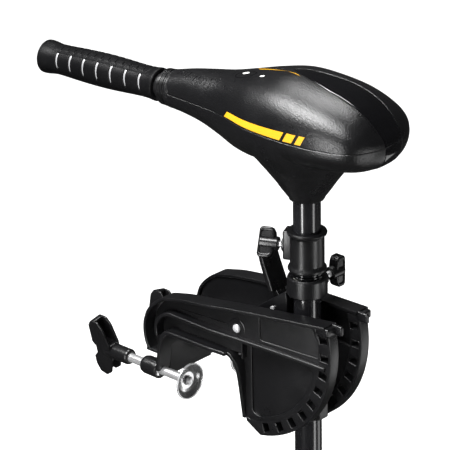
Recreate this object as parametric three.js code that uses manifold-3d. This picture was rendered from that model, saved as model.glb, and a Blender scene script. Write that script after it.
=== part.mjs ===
// Transom-mount electric trolling motor: clamp bracket, tilting steering arm, tube shaft,
// control head with a telescoping twist tiller, and a submerged motor with its propeller.
// Millimetres. +Z is up along the shaft, +X points aft, away from the boat, and the origin is
// the middle of the bracket's seat on top of the transom.

import * as THREE from "three";
import { mergeVertices } from "three/addons/utils/BufferGeometryUtils.js";
import Module from "manifold-3d";

const wasm = await Module();
wasm.setup();

// ---------------------------------------------------------------- driving dimensions

const GAP = 0.3;                    // clearance between pieces that touch

const SHAFT_X = 115;                // shaft axis, aft of the seat's middle
const SHAFT_RADIUS = 14.3;          // 1 1/8 inch tube
const SHAFT_BORE = 9.5;
const STEER_AT_REST = 5;            // degrees that the tiller is turned off straight ahead

const MOUTH_FRONT = -48;            // boat side of the transom gap, at its top
const MOUTH_BACK = 45;              // water side of the transom gap
const SADDLE_THICKNESS = 8;
const SADDLE_HALF_WIDTH = 33;
const CLAMP_Y = 42;                 // clamp screws, either side of the middle
const CLAMP_Z = -47;
const CLAMP_RADIUS = 5.1;
const CLAMP_BACK = 5;                // how far each screw stands back from its drawn outline
const BOSS_RADIUS = 10.5;
const NUT_RADIUS = 8;

const PIVOT_X = 50.5;               // tilt pivot
const PIVOT_Z = 34;
const PIN_RADIUS = 4.5;
const PIN_HEAD_RADIUS = 5.4;
const LOCK_RADIUS = 113;            // lock windows, from the tilt pivot
const LOCK_DRAWN_BACK = 103.1;      // the lock bar's place when it is clear of the windows
const RIM_INNER = 106;
const RIM_OUTER = 122;
const WINDOW_COUNT = 9;
const WINDOW_FIRST = 8.9;           // degrees above level, as seen from the pivot
const WINDOW_STEP = 10.3;           // degrees from one window to the next
const WINDOW_SIZE = [10.4, 8];      // along the radius, and across it
const QUADRANT_Y = [17.5, 30];      // inner and outer face of each toothed rim
const QUADRANT_WEB = [24, 27.5];
const FRONT_WEB = [33.5, 37.5];
const LEG_X = 57;                   // where the lower web steps in behind the mouth's leg
const RIB_STEP_X = 68;              // where the middle rib reaches in to the lower web
const SLOPE_X = 73;                 // where the upper web starts to slope in towards the rim
const WEB_SLOPE = 0.09;             // inward, for each millimetre aft

const STEERING_RADIUS = 21;         // ring that carries the shaft
const STEERING_Z = [80, 101];
const YOKE_Z = [-57, -37];
const ARM_HALF_WIDTH = 13.5;

const TENSION_Z = 90;

const WASHER_Z = [101.8, 107.2];
const COLLAR_Z = [107.5, 151];
const COLLAR_RADIUS = 17.9;
const COLLAR_KNOB_Z = 132;
const COLLAR_KNOB_ANGLE = 200;      // degrees, seen from above, in the turned head's frame

const SEAM_Z = 268;                 // parting plane of the head, and the tiller's axis
const SEAM_HALF_GAP = 0.15;
const NECK_Z = 186;                 // lower rim of the head's neck
const SHELL_WALL = 2.6;
const SHAFT_TOP = 226;
const SQUARENESS = 2.3;             // exponent of the head's rounded sections
// head stations: along the head, half width, height above the seam, depth below it
const HEAD_STATIONS = [
  [-166, 19.5, 20.5, 19.5], [-145, 22.5, 25.5, 21.5], [-120, 27, 29.8, 26], [-95, 31.5, 34, 35],
  [-70, 40, 40, 43], [-40, 52.5, 47.5, 44], [-10, 59, 53, 39], [20, 62.5, 51, 36.5],
  [50, 62.5, 45.5, 34], [75, 57, 36, 31], [90, 49, 25.5, 27], [100, 34, 14, 21], [105, 18, 7, 13],
];
// gloss panel on the head's rear: along the head, half width
const PANEL_OUTLINE = [[-14, 1.5], [-5, 6], [13, 12], [43, 18], [67, 19], [90, 16], [110, 14]];

const TILLER_TUBE = [10.5, 13];     // inner and outer radius
const TILLER_END = -338;
const GRIP_FROM = -345;
const GRIP_TO = -187;
const GRIP_BORE = 13.8;
const RIB_PITCH = 18.9;
const RIB_COUNT = 7;
const ROTOR_RADIUS = 8;
const ROD_RADIUS = 4;

const MOTOR_Z = -620;               // axis of the submerged motor
const CAN_RADIUS = 41;
const CAN_WALL = 2.5;
const CAN_HALF = 70;
const NOSE_LENGTH = 82;
const TAIL_LENGTH = 46;
const SPIGOT = 6;                   // how far each end housing enters the can, and its radius
const SPIGOT_RADIUS = 38.2;
const AXLE_RADIUS = 5;
const PROP_RADIUS = 114;
const BLADE_SECTIONS = 7;

const COARSE = 10;                  // sides of small, medium and large rounds
const MEDIUM = 14;
const FINE = 20;
const CAN_SIDES = 36;
const SHELL_STEPS = 10;             // chords across one half of a head section
const ORIGIN = [0, 0, 0];

// ---------------------------------------------------------------- finishes

const finish = (color, roughness, metalness = 0) => ({ color, roughness, metalness });
const BLACK_SATIN = finish(0x1c1d20, 0.45);
const BLACK_MATTE = finish(0x17181a, 0.6);
const BLACK_GLOSS = finish(0x0c0c0e, 0.12);
const GRIP_BLACK = finish(0x121214, 0.7);
const SHAFT_BLACK = finish(0x18191b, 0.2);
const STEEL = finish(0xc4c7cb, 0.2, 1);
const COPPER = finish(0xb4683c, 0.4, 1);
const FERRITE = finish(0x2f3033, 0.8);
const WHITE_PLASTIC = finish(0xd8d6cf, 0.5);
const RUBBER = finish(0x151515, 0.9);
const CARBON = finish(0x2a2a2c, 0.7);

// ---------------------------------------------------------------- solids

const degrees = THREE.MathUtils.degToRad;
const polar = (radius, angle) => [radius * Math.cos(degrees(angle)), radius * Math.sin(degrees(angle))];

// A manifold solid from a closed three.js geometry, with its faces turned outwards.
function solid(geometry) {
  const merged = geometry.clone();
  merged.deleteAttribute("normal");
  merged.deleteAttribute("uv");
  const mesh = mergeVertices(merged, 1e-3);
  const points = mesh.attributes.position.array;
  const corner = (i) => new THREE.Vector3().fromArray(points, 3 * i);
  const triangles = [];
  let volume = 0;
  for (let i = 0; i < mesh.index.count; i += 3) {
    const [a, b, c] = [0, 1, 2].map((k) => mesh.index.getX(i + k));
    if (a !== b && b !== c && c !== a) {
      triangles.push(a, b, c);
      volume += corner(a).dot(corner(b).cross(corner(c)));
    }
  }
  if (volume < 0) triangles.reverse();
  const vertProperties = new Float32Array(points);
  const triVerts = new Uint32Array(triangles);
  return new wasm.Manifold(new wasm.Mesh({ numProp: 3, vertProperties, triVerts }));
}

function toGeometry(body) {
  const mesh = body.getMesh();
  const geometry = new THREE.BufferGeometry();
  const points = new Float32Array(mesh.vertProperties);
  geometry.setAttribute("position", new THREE.BufferAttribute(points, 3));
  geometry.setIndex(new THREE.BufferAttribute(new Uint32Array(mesh.triVerts), 1));
  geometry.computeVertexNormals();
  return geometry;
}

const join = (...bodies) => bodies.reduce((sum, body) => sum.add(body));
const cut = (body, ...tools) => tools.reduce((rest, tool) => rest.subtract(tool), body);

function box([x0, x1], [y0, y1], [z0, z1]) {
  const geometry = new THREE.BoxGeometry(x1 - x0, y1 - y0, z1 - z0);
  return solid(geometry.translate((x0 + x1) / 2, (y0 + y1) / 2, (z0 + z1) / 2));
}

// Turns a geometry that was made about +Y so that it lies about the named axis.
function alongAxis(geometry, axis, centre) {
  if (axis === "x") geometry.rotateZ(-Math.PI / 2);
  if (axis === "z") geometry.rotateX(Math.PI / 2);
  return geometry.translate(...centre);
}

// A round bar from one place to another along an axis; centre gives its line.
function bar(axis, radius, [from, to], centre = ORIGIN, sides = MEDIUM) {
  const geometry = new THREE.CylinderGeometry(radius, radius, to - from, sides);
  return solid(alongAxis(geometry.translate(0, (from + to) / 2, 0), axis, centre));
}

// A turned solid: the profile holds [radius, place along the axis] and starts and ends on the axis.
function turned(axis, profile, centre = ORIGIN, sides = MEDIUM) {
  const points = profile.map(([radius, place]) => new THREE.Vector2(radius, place));
  return solid(alongAxis(new THREE.LatheGeometry(points, sides), axis, centre));
}

function ring(axis, [inner, outer], span, centre = ORIGIN, sides = MEDIUM) {
  const bore = bar(axis, inner, [span[0] - 1, span[1] + 1], centre, sides);
  return cut(bar(axis, outer, span, centre, sides), bore);
}

// An outline in the XZ plane carried across from one Y to another.
function plate(outline, [y0, y1]) {
  const shape = new THREE.Shape(outline.map(([x, z]) => new THREE.Vector2(x, z)));
  const geometry = new THREE.ExtrudeGeometry(shape, { depth: y1 - y0, bevelEnabled: false });
  return solid(geometry.rotateX(Math.PI / 2).translate(0, y1, 0));
}

// An outline in the XY plane carried up from one Z to another.
function slab(outline, [z0, z1]) {
  const shape = new THREE.Shape(outline.map(([x, y]) => new THREE.Vector2(x, y)));
  const geometry = new THREE.ExtrudeGeometry(shape, { depth: z1 - z0, bevelEnabled: false });
  return solid(geometry.translate(0, 0, z0));
}

// A closed solid through rings of points that all have the same count.
function loft(rings) {
  const count = rings[0].length;
  const points = rings.flat();
  const faces = [];
  for (let r = 0; r < rings.length - 1; r += 1) {
    for (let i = 0; i < count; i += 1) {
      const [a, b] = [r * count + i, r * count + ((i + 1) % count)];
      faces.push(a, b, b + count, a, b + count, a + count);
    }
  }
  for (const [r, flip] of [[0, true], [rings.length - 1, false]]) {
    const middle = new THREE.Vector3();
    rings[r].forEach((point) => middle.addScaledVector(point, 1 / count));
    points.push(middle);
    for (let i = 0; i < count; i += 1) {
      const edge = [r * count + i, r * count + ((i + 1) % count)];
      faces.push(points.length - 1, ...(flip ? edge.reverse() : edge));
    }
  }
  const geometry = new THREE.BufferGeometry().setFromPoints(points);
  geometry.setIndex(faces);
  return solid(geometry);
}

// A strip that follows points in the XZ plane; across(x) gives its inner and outer Y.
function strip(points, thickness, across) {
  const rings = points.map(([x, z], i) => {
    const [x0, z0] = points[Math.max(i - 1, 0)];
    const [x1, z1] = points[Math.min(i + 1, points.length - 1)];
    const half = thickness / 2 / Math.hypot(x1 - x0, z1 - z0);
    const [dx, dz] = [-(z1 - z0) * half, (x1 - x0) * half];
    const [inner, outer] = across(x);
    return [[1, inner], [1, outer], [-1, outer], [-1, inner]]
      .map(([side, y]) => new THREE.Vector3(x + side * dx, y, z + side * dz));
  });
  return loft(rings);
}

// A bar of constant section along a curve.
function swept(points, radius, steps, sides = 8) {
  const curve = new THREE.CatmullRomCurve3(points.map((point) => new THREE.Vector3(...point)));
  const corners = Array.from({ length: sides }, (_, i) => polar(radius, (360 * i) / sides));
  const section = new THREE.Shape(corners.map(([x, y]) => new THREE.Vector2(x, y)));
  return solid(new THREE.ExtrudeGeometry(section, { steps, extrudePath: curve, bevelEnabled: false }));
}

const arc = (radius, from, to, steps, [x, z] = [0, 0]) =>
  Array.from({ length: steps + 1 }, (_, i) => polar(radius, from + ((to - from) * i) / steps))
    .map(([dx, dz]) => [x + dx, z + dz]);

const mirrored = (body) => body.mirror([0, 1, 0]);

// ---------------------------------------------------------------- scene graph

const motor = new THREE.Group();
const steering = new THREE.Group();   // everything that turns with the tiller
steering.position.x = SHAFT_X;
steering.rotation.z = degrees(STEER_AT_REST);
motor.add(steering);

function add(parent, name, body, look) {
  const mesh = new THREE.Mesh(toGeometry(body), new THREE.MeshStandardMaterial(look));
  mesh.name = name;
  parent.add(mesh);
}

const SIDES = [["left", -1], ["right", 1]];
const sided = (body, side) => (side < 0 ? mirrored(body) : body);

// ---------------------------------------------------------------- transom bracket

// Outer edge of the side plates' flanges: parallel at the clamps, drawn in towards the quadrant.
const flangeOuter = (x) => 50.5 - 15.8 * THREE.MathUtils.clamp((x - 20) / 147, 0, 1);
const topFlange = (x) => [Math.max(flangeOuter(x) - 19, QUADRANT_Y[0]), flangeOuter(x)];
const midRib = (x) => [x < RIB_STEP_X ? FRONT_WEB[0] : QUADRANT_WEB[0], flangeOuter(x) - 2];
const pivotPoint = [PIVOT_X, PIVOT_Z];
const windowAngle = (i) => WINDOW_FIRST - WINDOW_STEP * i;

function lockWindows() {
  const [length, width] = WINDOW_SIZE;
  return Array.from({ length: WINDOW_COUNT }, (_, i) => {
    const across = [-width / 2, width / 2];
    const through = box([LOCK_RADIUS - length / 2, LOCK_RADIUS + length / 2], [0, 40], across);
    const notch = box([RIM_INNER - 5, LOCK_RADIUS], [0, QUADRANT_WEB[0] - 1.5], across);
    return join(through, notch).rotate([0, -windowAngle(i), 0]).translate([PIVOT_X, 0, PIVOT_Z]);
  });
}

// The upper web: flush with the front web at SLOPE_X, then drawn in with the flanges.
function slopingWeb() {
  const outline = [[SLOPE_X - 1, 24], [SLOPE_X - 1, 58], [120, 62], [150, 62], [157, 46], [158, 21]];
  const web = plate(outline, FRONT_WEB);
  const shear = new THREE.Matrix4();
  shear.set(1, 0, 0, 0, -WEB_SLOPE, 1, 0, WEB_SLOPE * SLOPE_X, 0, 0, 1, 0, 0, 0, 0, 1);
  return web.transform(shear.elements);
}

function sidePlate() {
  const top = [[-68, -23], [-73, -14], [-74.5, -3], [-74.5, 6], [-73, 13], [-68.5, 23], [-59, 33.5],
    [-47, 42.5], [-33, 46], [15, 53.5], [60, 58.5], [120, 63.5], [166, 67]];
  const frontWeb = [[-68, -42], [-72, -14], [-73, 5], [-67, 22], [-58, 33], [-46, 41], [-33, 45], [15, 52],
    [SLOPE_X + 1, 58], [SLOPE_X + 1, 24], [LEG_X, 24], [LEG_X, 5], [-45, 5], [-51, 0], [-56, -42]];
  const rearWeb = [...arc(RIM_INNER + 2, -7, -88, 8, pivotPoint), [MOUTH_BACK + 1.5, -66],
    [MOUTH_BACK + 1.5, 24], [157, 21]];
  const rim = [...arc(RIM_OUTER, 16, -93, 14, pivotPoint), ...arc(RIM_INNER, -93, 16, 10, pivotPoint)];
  const [legFrom, legTo] = [MOUTH_BACK + 0.2, MOUTH_BACK + 5];
  const backLeg = [[legFrom, 6], [legFrom, -86], [legTo, -86], [legTo + 2, 6]];
  const mouth = [[-57, -42], [-53.5, -20], [-49.5, -6], [-43.5, 2.5], [-34, 4.5], [MOUTH_BACK - 1, 4.5],
    [MOUTH_BACK + 14, 0]];
  const rib = [[-58.5, -4], [-59, 7], [-53, 18], [-42, 25], [60, 24.5], [RIB_STEP_X - 1, 24.3],
    [RIB_STEP_X + 1, 24.2], [120, 22.5], [164, 20]];
  const joined = join(
    plate(frontWeb, FRONT_WEB),
    slopingWeb(),
    plate(rearWeb, QUADRANT_WEB),
    plate(rim, QUADRANT_Y),
    plate(backLeg, [QUADRANT_Y[0], FRONT_WEB[0]]),
    strip(top, 3.5, topFlange),
    strip(mouth, 5, (x) => [FRONT_WEB[0], Math.min(flangeOuter(x), x > 40 ? 44 : 51)]),
    strip(rib, 4.5, midRib),
    box([LEG_X - 3, LEG_X], [QUADRANT_WEB[0], FRONT_WEB[1]], [0, 24]),
    bar("x", BOSS_RADIUS, [-83, -56.5], [0, CLAMP_Y, CLAMP_Z]),
    box([-69, -57], [FRONT_WEB[0], CLAMP_Y], [CLAMP_Z - 9, -36]),
    box([-73, -52], [FRONT_WEB[0], flangeOuter(0)], [-24.5, -20.5]),
    bar("y", 11, [30.5, 36], [PIVOT_X, 0, PIVOT_Z]),
    box([154, 173], [QUADRANT_Y[0], 34.5], [57, 67.5]),
    box([165, 180], [QUADRANT_Y[0], QUADRANT_Y[0] + 5], [57.5, 69]),
  );
  const footCorner = plate([[40, -72], [52, -72], [76, -92], [40, -92]], [0, FRONT_WEB[1] + 1]);
  return cut(
    joined,
    footCorner,
    ...lockWindows(),
    bar("y", PIN_RADIUS + GAP, [0, 60], [PIVOT_X, 0, PIVOT_Z]),
    bar("x", CLAMP_RADIUS + GAP, [-100, 0], [0, CLAMP_Y, CLAMP_Z]),
    bar("x", NUT_RADIUS + GAP, [-64, 0], [0, CLAMP_Y, CLAMP_Z], 6),
  );
}

function saddle() {
  const inner = SADDLE_HALF_WIDTH;
  const foot = CLAMP_Z - 9;
  const frontWall = [[MOUTH_FRONT - 3, 8], [MOUTH_FRONT, 0], [-55, foot], [-63, foot], [-58, 0], [-56, 8]];
  const narrow = QUADRANT_Y[0] - GAP;
  const body = join(
    plate(frontWall, [-inner, inner]),
    box([-56, MOUTH_BACK - GAP], [-inner, inner], [0, SADDLE_THICKNESS]),
    box([MOUTH_BACK - 1, MOUTH_BACK + 5.5], [-narrow, narrow], [0, SADDLE_THICKNESS]),
    box([MOUTH_BACK, MOUTH_BACK + 5.5], [-narrow, narrow], [-84, SADDLE_THICKNESS]),
  );
  const notch = (side) => bar("x", BOSS_RADIUS + GAP, [-90, -50], [0, side * CLAMP_Y, CLAMP_Z]);
  const notches = SIDES.map(([, side]) => notch(side));
  return cut(body, ...notches);
}

function hingePin() {
  const profile = [[0, -41.2], [3.8, -40.7], [PIN_HEAD_RADIUS, -39.1], [PIN_HEAD_RADIUS, -37.8],
    [PIN_RADIUS, -37.8], [PIN_RADIUS, 41], [0, 41]];
  return turned("y", profile, [PIVOT_X, 0, PIVOT_Z]);
}

const sideBody = sidePlate();
for (const [word, side] of SIDES) {
  add(motor, `bracket_side_${word}`, sided(sideBody, side), BLACK_SATIN);
}
add(motor, "bracket_saddle", saddle(), BLACK_SATIN);
add(motor, "hinge_pin", hingePin(), STEEL);
const pinClip = ring("y", [PIN_RADIUS + GAP, 6.3], [37.8, 39.3], [PIVOT_X, 0, PIVOT_Z]);
add(motor, "hinge_pin_clip", pinClip, STEEL);

// ---------------------------------------------------------------- transom clamps

function clampScrew(y) {
  const profile = [[0, -123], [CLAMP_RADIUS, -123], [CLAMP_RADIUS, -20.5], [3.4, -20], [3.4, -12.6],
    [5, -11.4], [4, -9.6], [0, -9]];
  return turned("x", profile, [-CLAMP_BACK, y, CLAMP_Z]);
}

function clampCup(y) {
  const dish = [[3.8, -19.5], [7, -19.5], [8, -16], [16.6, -14.2], [20.5, -10.6], [20.5, -9.4],
    [19, -9.4], [15.6, -11.8], [9, -13.2], [3.8, -13]];
  return turned("x", [...dish, dish[0]], [-CLAMP_BACK, y, CLAMP_Z], FINE);
}

function clampKnob(y, side) {
  const half = [[-150, 30], [-146, 38], [-134, 38], [-128, 30], [-122, 10], [-122, -10], [-128, -27],
    [-136, -32], [-145, -30], [-150, -22], [-150, -9], [-145, -3], [-144, 4], [-149, 8]];
  const wing = plate(half, [-8, 8]);
  const pocket = plate([[-141, 32], [-129, 34], [-120, 16], [-120, 9], [-139, 9]], [-5.5, 5.5]);
  const lowPocket = plate([[-141, -27], [-132, -29], [-120, -16], [-120, -9], [-139, -9]], [-5.5, 5.5]);
  const bore = bar("x", CLAMP_RADIUS + GAP, [-123.5, -90]);
  const knob = cut(join(wing, bar("x", 8.8, [-135, -99])), pocket, lowPocket, bore);
  return knob.rotate([side * -12, 0, 0]).translate([-CLAMP_BACK, y, CLAMP_Z]);
}

for (const [word, side] of SIDES) {
  const y = side * CLAMP_Y;
  const thread = bar("x", CLAMP_RADIUS + GAP, [-70, -50], [0, y, CLAMP_Z]);
  const nut = cut(bar("x", NUT_RADIUS, [-63.5, -57.2], [0, y, CLAMP_Z], 6), thread);
  add(motor, `clamp_nut_${word}`, nut, STEEL);
  add(motor, `clamp_screw_${word}`, clampScrew(y), STEEL);
  add(motor, `clamp_cup_${word}`, clampCup(y), STEEL);
  add(motor, `clamp_knob_${word}`, clampKnob(y, side), BLACK_MATTE);
}

// ---------------------------------------------------------------- tilting steering arm

const LEVER_PIN = [79, 57];
const lockAngle = windowAngle(WINDOW_COUNT - 1);
const lockPoint = polar(LOCK_DRAWN_BACK, lockAngle).map((value, i) => value + pivotPoint[i]);

function steeringArm() {
  const cheek = [[40, 26], [39, 36], [44, 45], [52, 49], [96, 82], [98.5, 82], [98.5, -72], [92, -86],
    [77, -86], [71, -58], [66, -20], [60, 14], [52, 21]];
  const ringAt = [SHAFT_X, 0, 0];
  const slot = box([LOCK_RADIUS - 14, LOCK_RADIUS + 5], [-20, 20], [-3.1, 3.1]);
  const yokeOutline = [[92, -16.6], [120, -16.6], [131, -13], [137, -6], [137, 6], [131, 13], [120, 16.6],
    [92, 16.6]];
  const yoke = slab(yokeOutline, YOKE_Z);
  const channel = join(
    plate([[30, 90], [86, 90], [93, 70], [93, -90], [30, -90]], [-7.5, 7.5]),
    bar("y", 5, [-7.5, 7.5], [PIVOT_X, 0, PIVOT_Z]),
  );
  const body = join(
    plate(cheek, [-ARM_HALF_WIDTH, ARM_HALF_WIDTH]),
    bar("z", STEERING_RADIUS, STEERING_Z, ringAt, 36),
    bar("y", 8.5, [-30, 30], [PIVOT_X, 0, PIVOT_Z]),
    bar("y", 8.5, [STEERING_RADIUS - 8, STEERING_RADIUS + 4], [SHAFT_X, 0, TENSION_Z]),
  );
  return cut(
    join(cut(body, channel), yoke, bar("y", 7.5, [-8, 8], [PIVOT_X, 0, PIVOT_Z])),
    bar("z", SHAFT_RADIUS + 0.5, [-90, 120], ringAt, 36),
    bar("z", 17.6, [STEERING_Z[1] - 16, 120], ringAt, 36),
    bar("y", PIN_RADIUS + 0.25, [-60, 60], [PIVOT_X, 0, PIVOT_Z]),
    bar("y", 2.8, [-60, 60], [LEVER_PIN[0], 0, LEVER_PIN[1]], COARSE),
    bar("y", 4.4, [0, 60], [SHAFT_X, 0, TENSION_Z], COARSE),
    slot.rotate([0, -lockAngle, 0]).translate([PIVOT_X, 0, PIVOT_Z]),
  );
}

function releaseLever() {
  const side = [[76, 50], [84, 52], [86, 58], [84, 66], [79, 74], [75, 84], [68, 100], [63, 112], [57, 112],
    [61, 100], [68, 82], [73, 66], [72, 56], [63, 42], [66, 38.5], [76, 47]];
  const hub = plate(side, [-6.8, 6.8]);
  const paddleOutline = [[79, 74], [75, 84], [68, 100], [63, 112], [57, 112], [61, 100], [68, 82], [73, 72]];
  const paddle = plate(paddleOutline, [-13, 13]);
  return cut(join(hub, paddle), bar("y", 2.9, [-20, 20], [LEVER_PIN[0], 0, LEVER_PIN[1]], COARSE));
}

function pullLink() {
  const [x, z] = lockPoint;
  const reach = [[x - 2, z + 4.6], [x + 4, z + 5.4], [72, 32.5], [66.5, 34.5], [65, 30]];
  const eye = join(plate(reach, [-3, 3]), bar("y", 5.6, [-3, 3], [x, 0, z], COARSE));
  return cut(eye, bar("y", 2.9, [-5, 5], [x, 0, z], COARSE));
}

const steeringBushing = () => ring("z", [SHAFT_RADIUS + 0.25, 17.3], [86, 99], [SHAFT_X, 0, 0], FINE);

const ARM_PIECES = [
  ["steering_arm", steeringArm(), BLACK_SATIN],
  ["steering_bushing", steeringBushing(), WHITE_PLASTIC],
  ["lever_pin", bar("y", 2.5, [-15, 15], [LEVER_PIN[0], 0, LEVER_PIN[1]], COARSE), STEEL],
  ["release_lever", releaseLever(), BLACK_MATTE],
  ["lock_bar", bar("y", 2.6, [-22, 22], [lockPoint[0], 0, lockPoint[1]], COARSE), STEEL],
  ["pull_link", pullLink(), STEEL],
];
ARM_PIECES.forEach(([name, body, look]) => add(motor, name, body, look));

// ---------------------------------------------------------------- small wing knobs

// A wing knob about +X: its hub starts at zero, its two wings lie beyond it along Z.
function wingKnob(length, hub, reach) {
  const wing = [[hub, 6.5], [hub + 1.5, reach - 3], [hub + 4, reach], [length - 2, reach],
    [length, reach - 3], [length, 3 - reach], [length - 2, -reach], [hub + 4, -reach],
    [hub + 1.5, 3 - reach], [hub, -6.5]];
  const pocket = [[hub + 4, 7.5], [hub + 4.5, reach - 2], [length + 1, reach - 2], [length + 1, 7.5]];
  const lower = pocket.map(([x, z]) => [x, -z]);
  return cut(
    join(plate(wing, [-6, 6]), bar("x", 6.6, [0, length - 1], ORIGIN, COARSE)),
    plate(pocket, [-4, 4]),
    plate(lower, [-4, 4]),
  );
}

const TENSION_AT = [SHAFT_X, 0, TENSION_Z];
const tensionScrew = bar("y", 3.4, [STEERING_RADIUS - 1.6, 45], TENSION_AT, COARSE);
const tensionKnob = cut(
  wingKnob(19, 5, 17).rotate([0, 0, 90]).translate([SHAFT_X, 34.5, TENSION_Z]),
  bar("y", 3.7, [20, 45.3], TENSION_AT, COARSE),
);
const frictionShoe = bar("y", 4, [17.7, STEERING_RADIUS - 2], TENSION_AT, COARSE);
add(motor, "tension_knob", tensionKnob, BLACK_MATTE);
add(motor, "tension_screw", tensionScrew, STEEL);
add(motor, "friction_shoe", frictionShoe, WHITE_PLASTIC);

// ---------------------------------------------------------------- depth collar

const collarSpoke = (body) => body.rotate([0, 0, COLLAR_KNOB_ANGLE]).translate([0, 0, COLLAR_KNOB_Z]);

function depthCollar() {
  const profile = [[0, COLLAR_Z[0]], [20.3, COLLAR_Z[0]], [20.3, 110.5], [COLLAR_RADIUS, 113],
    [COLLAR_RADIUS, 146], [20.6, 147.5], [21, 150], [20, COLLAR_Z[1]], [0, COLLAR_Z[1]]];
  const body = turned("z", profile, ORIGIN, FINE);
  const boss = bar("x", 7.5, [12, 26], ORIGIN, COARSE);
  const ear = collarSpoke(join(box([12, 24], [-8.5, 8.5], [-14, 18]), boss));
  return cut(join(body, ear), bar("z", SHAFT_RADIUS + 0.4, [90, 170], ORIGIN, FINE),
    collarSpoke(bar("x", 3.7, [0, 40], ORIGIN, COARSE)));
}

const thrustWasher = ring("z", [SHAFT_RADIUS + 0.4, 18], WASHER_Z, ORIGIN, FINE);
add(steering, "thrust_washer", thrustWasher, BLACK_GLOSS);
add(steering, "depth_collar", depthCollar(), BLACK_MATTE);
add(steering, "collar_screw", collarSpoke(bar("x", 3.4, [15, 44], ORIGIN, COARSE)), STEEL);
const collarKnob = cut(wingKnob(21, 4, 16), bar("x", 3.7, [-4, 14.5], ORIGIN, COARSE))
  .rotate([30, 0, 0]).translate([30, 0, 0]);
add(steering, "collar_knob", collarSpoke(collarKnob), BLACK_MATTE);

// ---------------------------------------------------------------- shaft

const shaftSpan = [MOTOR_Z + CAN_RADIUS + 4, SHAFT_TOP];
add(steering, "shaft", ring("z", [SHAFT_BORE, SHAFT_RADIUS], shaftSpan, ORIGIN, FINE), SHAFT_BLACK);

// ---------------------------------------------------------------- control head

const rounded = (value) => Math.sign(value) * Math.abs(value) ** (2 / SQUARENESS);

// A head section; angles run from one seam edge to the other on the chosen half.
function headRing([x, width, up, down], half, steps) {
  return Array.from({ length: steps + 1 }, (_, i) => {
    const angle = (Math.PI * i) / steps;
    const height = half > 0 ? up : -down;
    return new THREE.Vector3(x, width * rounded(Math.cos(angle)), height * rounded(Math.sin(angle)));
  });
}

function headHalf(half) {
  return loft(HEAD_STATIONS.map((station) => headRing(station, half, SHELL_STEPS))).translate([0, 0, SEAM_Z]);
}

function headHollow() {
  const stations = HEAD_STATIONS.filter(([x]) => x <= 100)
    .map(([x, width, up, down]) => [x, width - SHELL_WALL, up - SHELL_WALL, down - SHELL_WALL]);
  stations[0][0] += 4;
  const last = stations[stations.length - 1];
  last[0] -= 1;
  const underside = (station) => headRing(station, -1, 6).reverse().slice(1, -1);
  const rings = stations.map((station) => [...headRing(station, 1, 6), ...underside(station)]);
  return loft(rings).translate([0, 0, SEAM_Z]);
}

function neckCone() {
  const profile = [[0, NECK_Z], [17, NECK_Z], [24.5, 195], [32, 207], [41, 219], [50, 232], [0, 232]];
  return turned("z", profile, ORIGIN, FINE);
}

const SCREW_SPOTS = [[-100, 22], [62, -34], [62, 34]];
const SCREW_POST = 5;                // outer, bore and counterbore radius of the screw posts
const SCREW_BORE = 2.5;
const SCREW_WELL = 4.6;
const screwDepth = (x) => (x < 0 ? 22.5 : 26.5);
const post = ([x, y], radius, from, to) => bar("z", radius, [SEAM_Z + from, SEAM_Z + to], [x, y, 0], COARSE);
const TILLER_SOCKET = bar("x", 18.2, [-170, -150], [0, 0, SEAM_Z], FINE);
const GLAND_SPOT = [66, 19];
const hollow = headHollow();
const lowerSkin = headHalf(-1);
const upperSkin = headHalf(1);

function lowerShell() {
  const above = box([-400, 200], [-100, 100], [SEAM_Z - SEAM_HALF_GAP, SEAM_Z + 100]);
  const cone = [[0, 197], [16.5, 197], [26, 207], [38, 222], [46, 240], [0, 240]];
  const insideNeck = turned("z", cone, ORIGIN, FINE);
  const posts = SCREW_SPOTS.map((spot) => post(spot, SCREW_POST, -60, -SEAM_HALF_GAP));
  const bosses = join(...posts).intersect(lowerSkin);
  const holes = SCREW_SPOTS.map((spot) => post(spot, SCREW_BORE, -60, 5));
  const wells = SCREW_SPOTS.map((spot) => post(spot, SCREW_WELL, -60, 5 - screwDepth(spot[0])));
  const shell = cut(join(lowerSkin, neckCone()), hollow, insideNeck, above);
  return cut(join(shell, bosses), ...holes, ...wells,
    bar("z", SHAFT_RADIUS + GAP, [NECK_Z - 5, 230], ORIGIN, FINE),
    TILLER_SOCKET,
    post(GLAND_SPOT, 6.3, -50, -20));
}

function panelPrism(grow, from) {
  const edge = PANEL_OUTLINE.map(([x, half]) => [x - grow, half + grow]);
  const outline = [...edge, ...edge.map(([x, half]) => [x, -half]).reverse()];
  return slab(outline, [from, SEAM_Z + 100]);
}

function upperShell() {
  const bosses = SCREW_SPOTS.map((spot) => post(spot, SCREW_POST, SEAM_HALF_GAP, spot[0] < 0 ? 30 : 38));
  const inside = join(...bosses).intersect(upperSkin);
  const holes = SCREW_SPOTS.map((spot) => post(spot, SCREW_BORE, -5, 16));
  const below = box([-400, 200], [-100, 100], [SEAM_Z - 50, SEAM_Z + SEAM_HALF_GAP]);
  return cut(join(cut(upperSkin, hollow), inside), below, ...holes, panelRecess(), TILLER_SOCKET);
}

// The upper skin set down by some height and forward by some length.
function sunkSkin(drop, forward) {
  const sunk = HEAD_STATIONS.map(([x, width, up]) => [x - forward, width, up - drop, 0]);
  const rings = sunk.map((station) => headRing(station, 1, SHELL_STEPS));
  return loft(rings).translate([0, 0, SEAM_Z]);
}

// The panel is let into the upper shell by its own thickness.
function panelRecess() {
  return cut(panelPrism(GAP, SEAM_Z + 5.8), sunkSkin(1.7, 1.2));
}

function glossPanel() {
  return cut(upperSkin, sunkSkin(1.1, 0.8)).intersect(panelPrism(0, SEAM_Z + 6.1));
}

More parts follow.
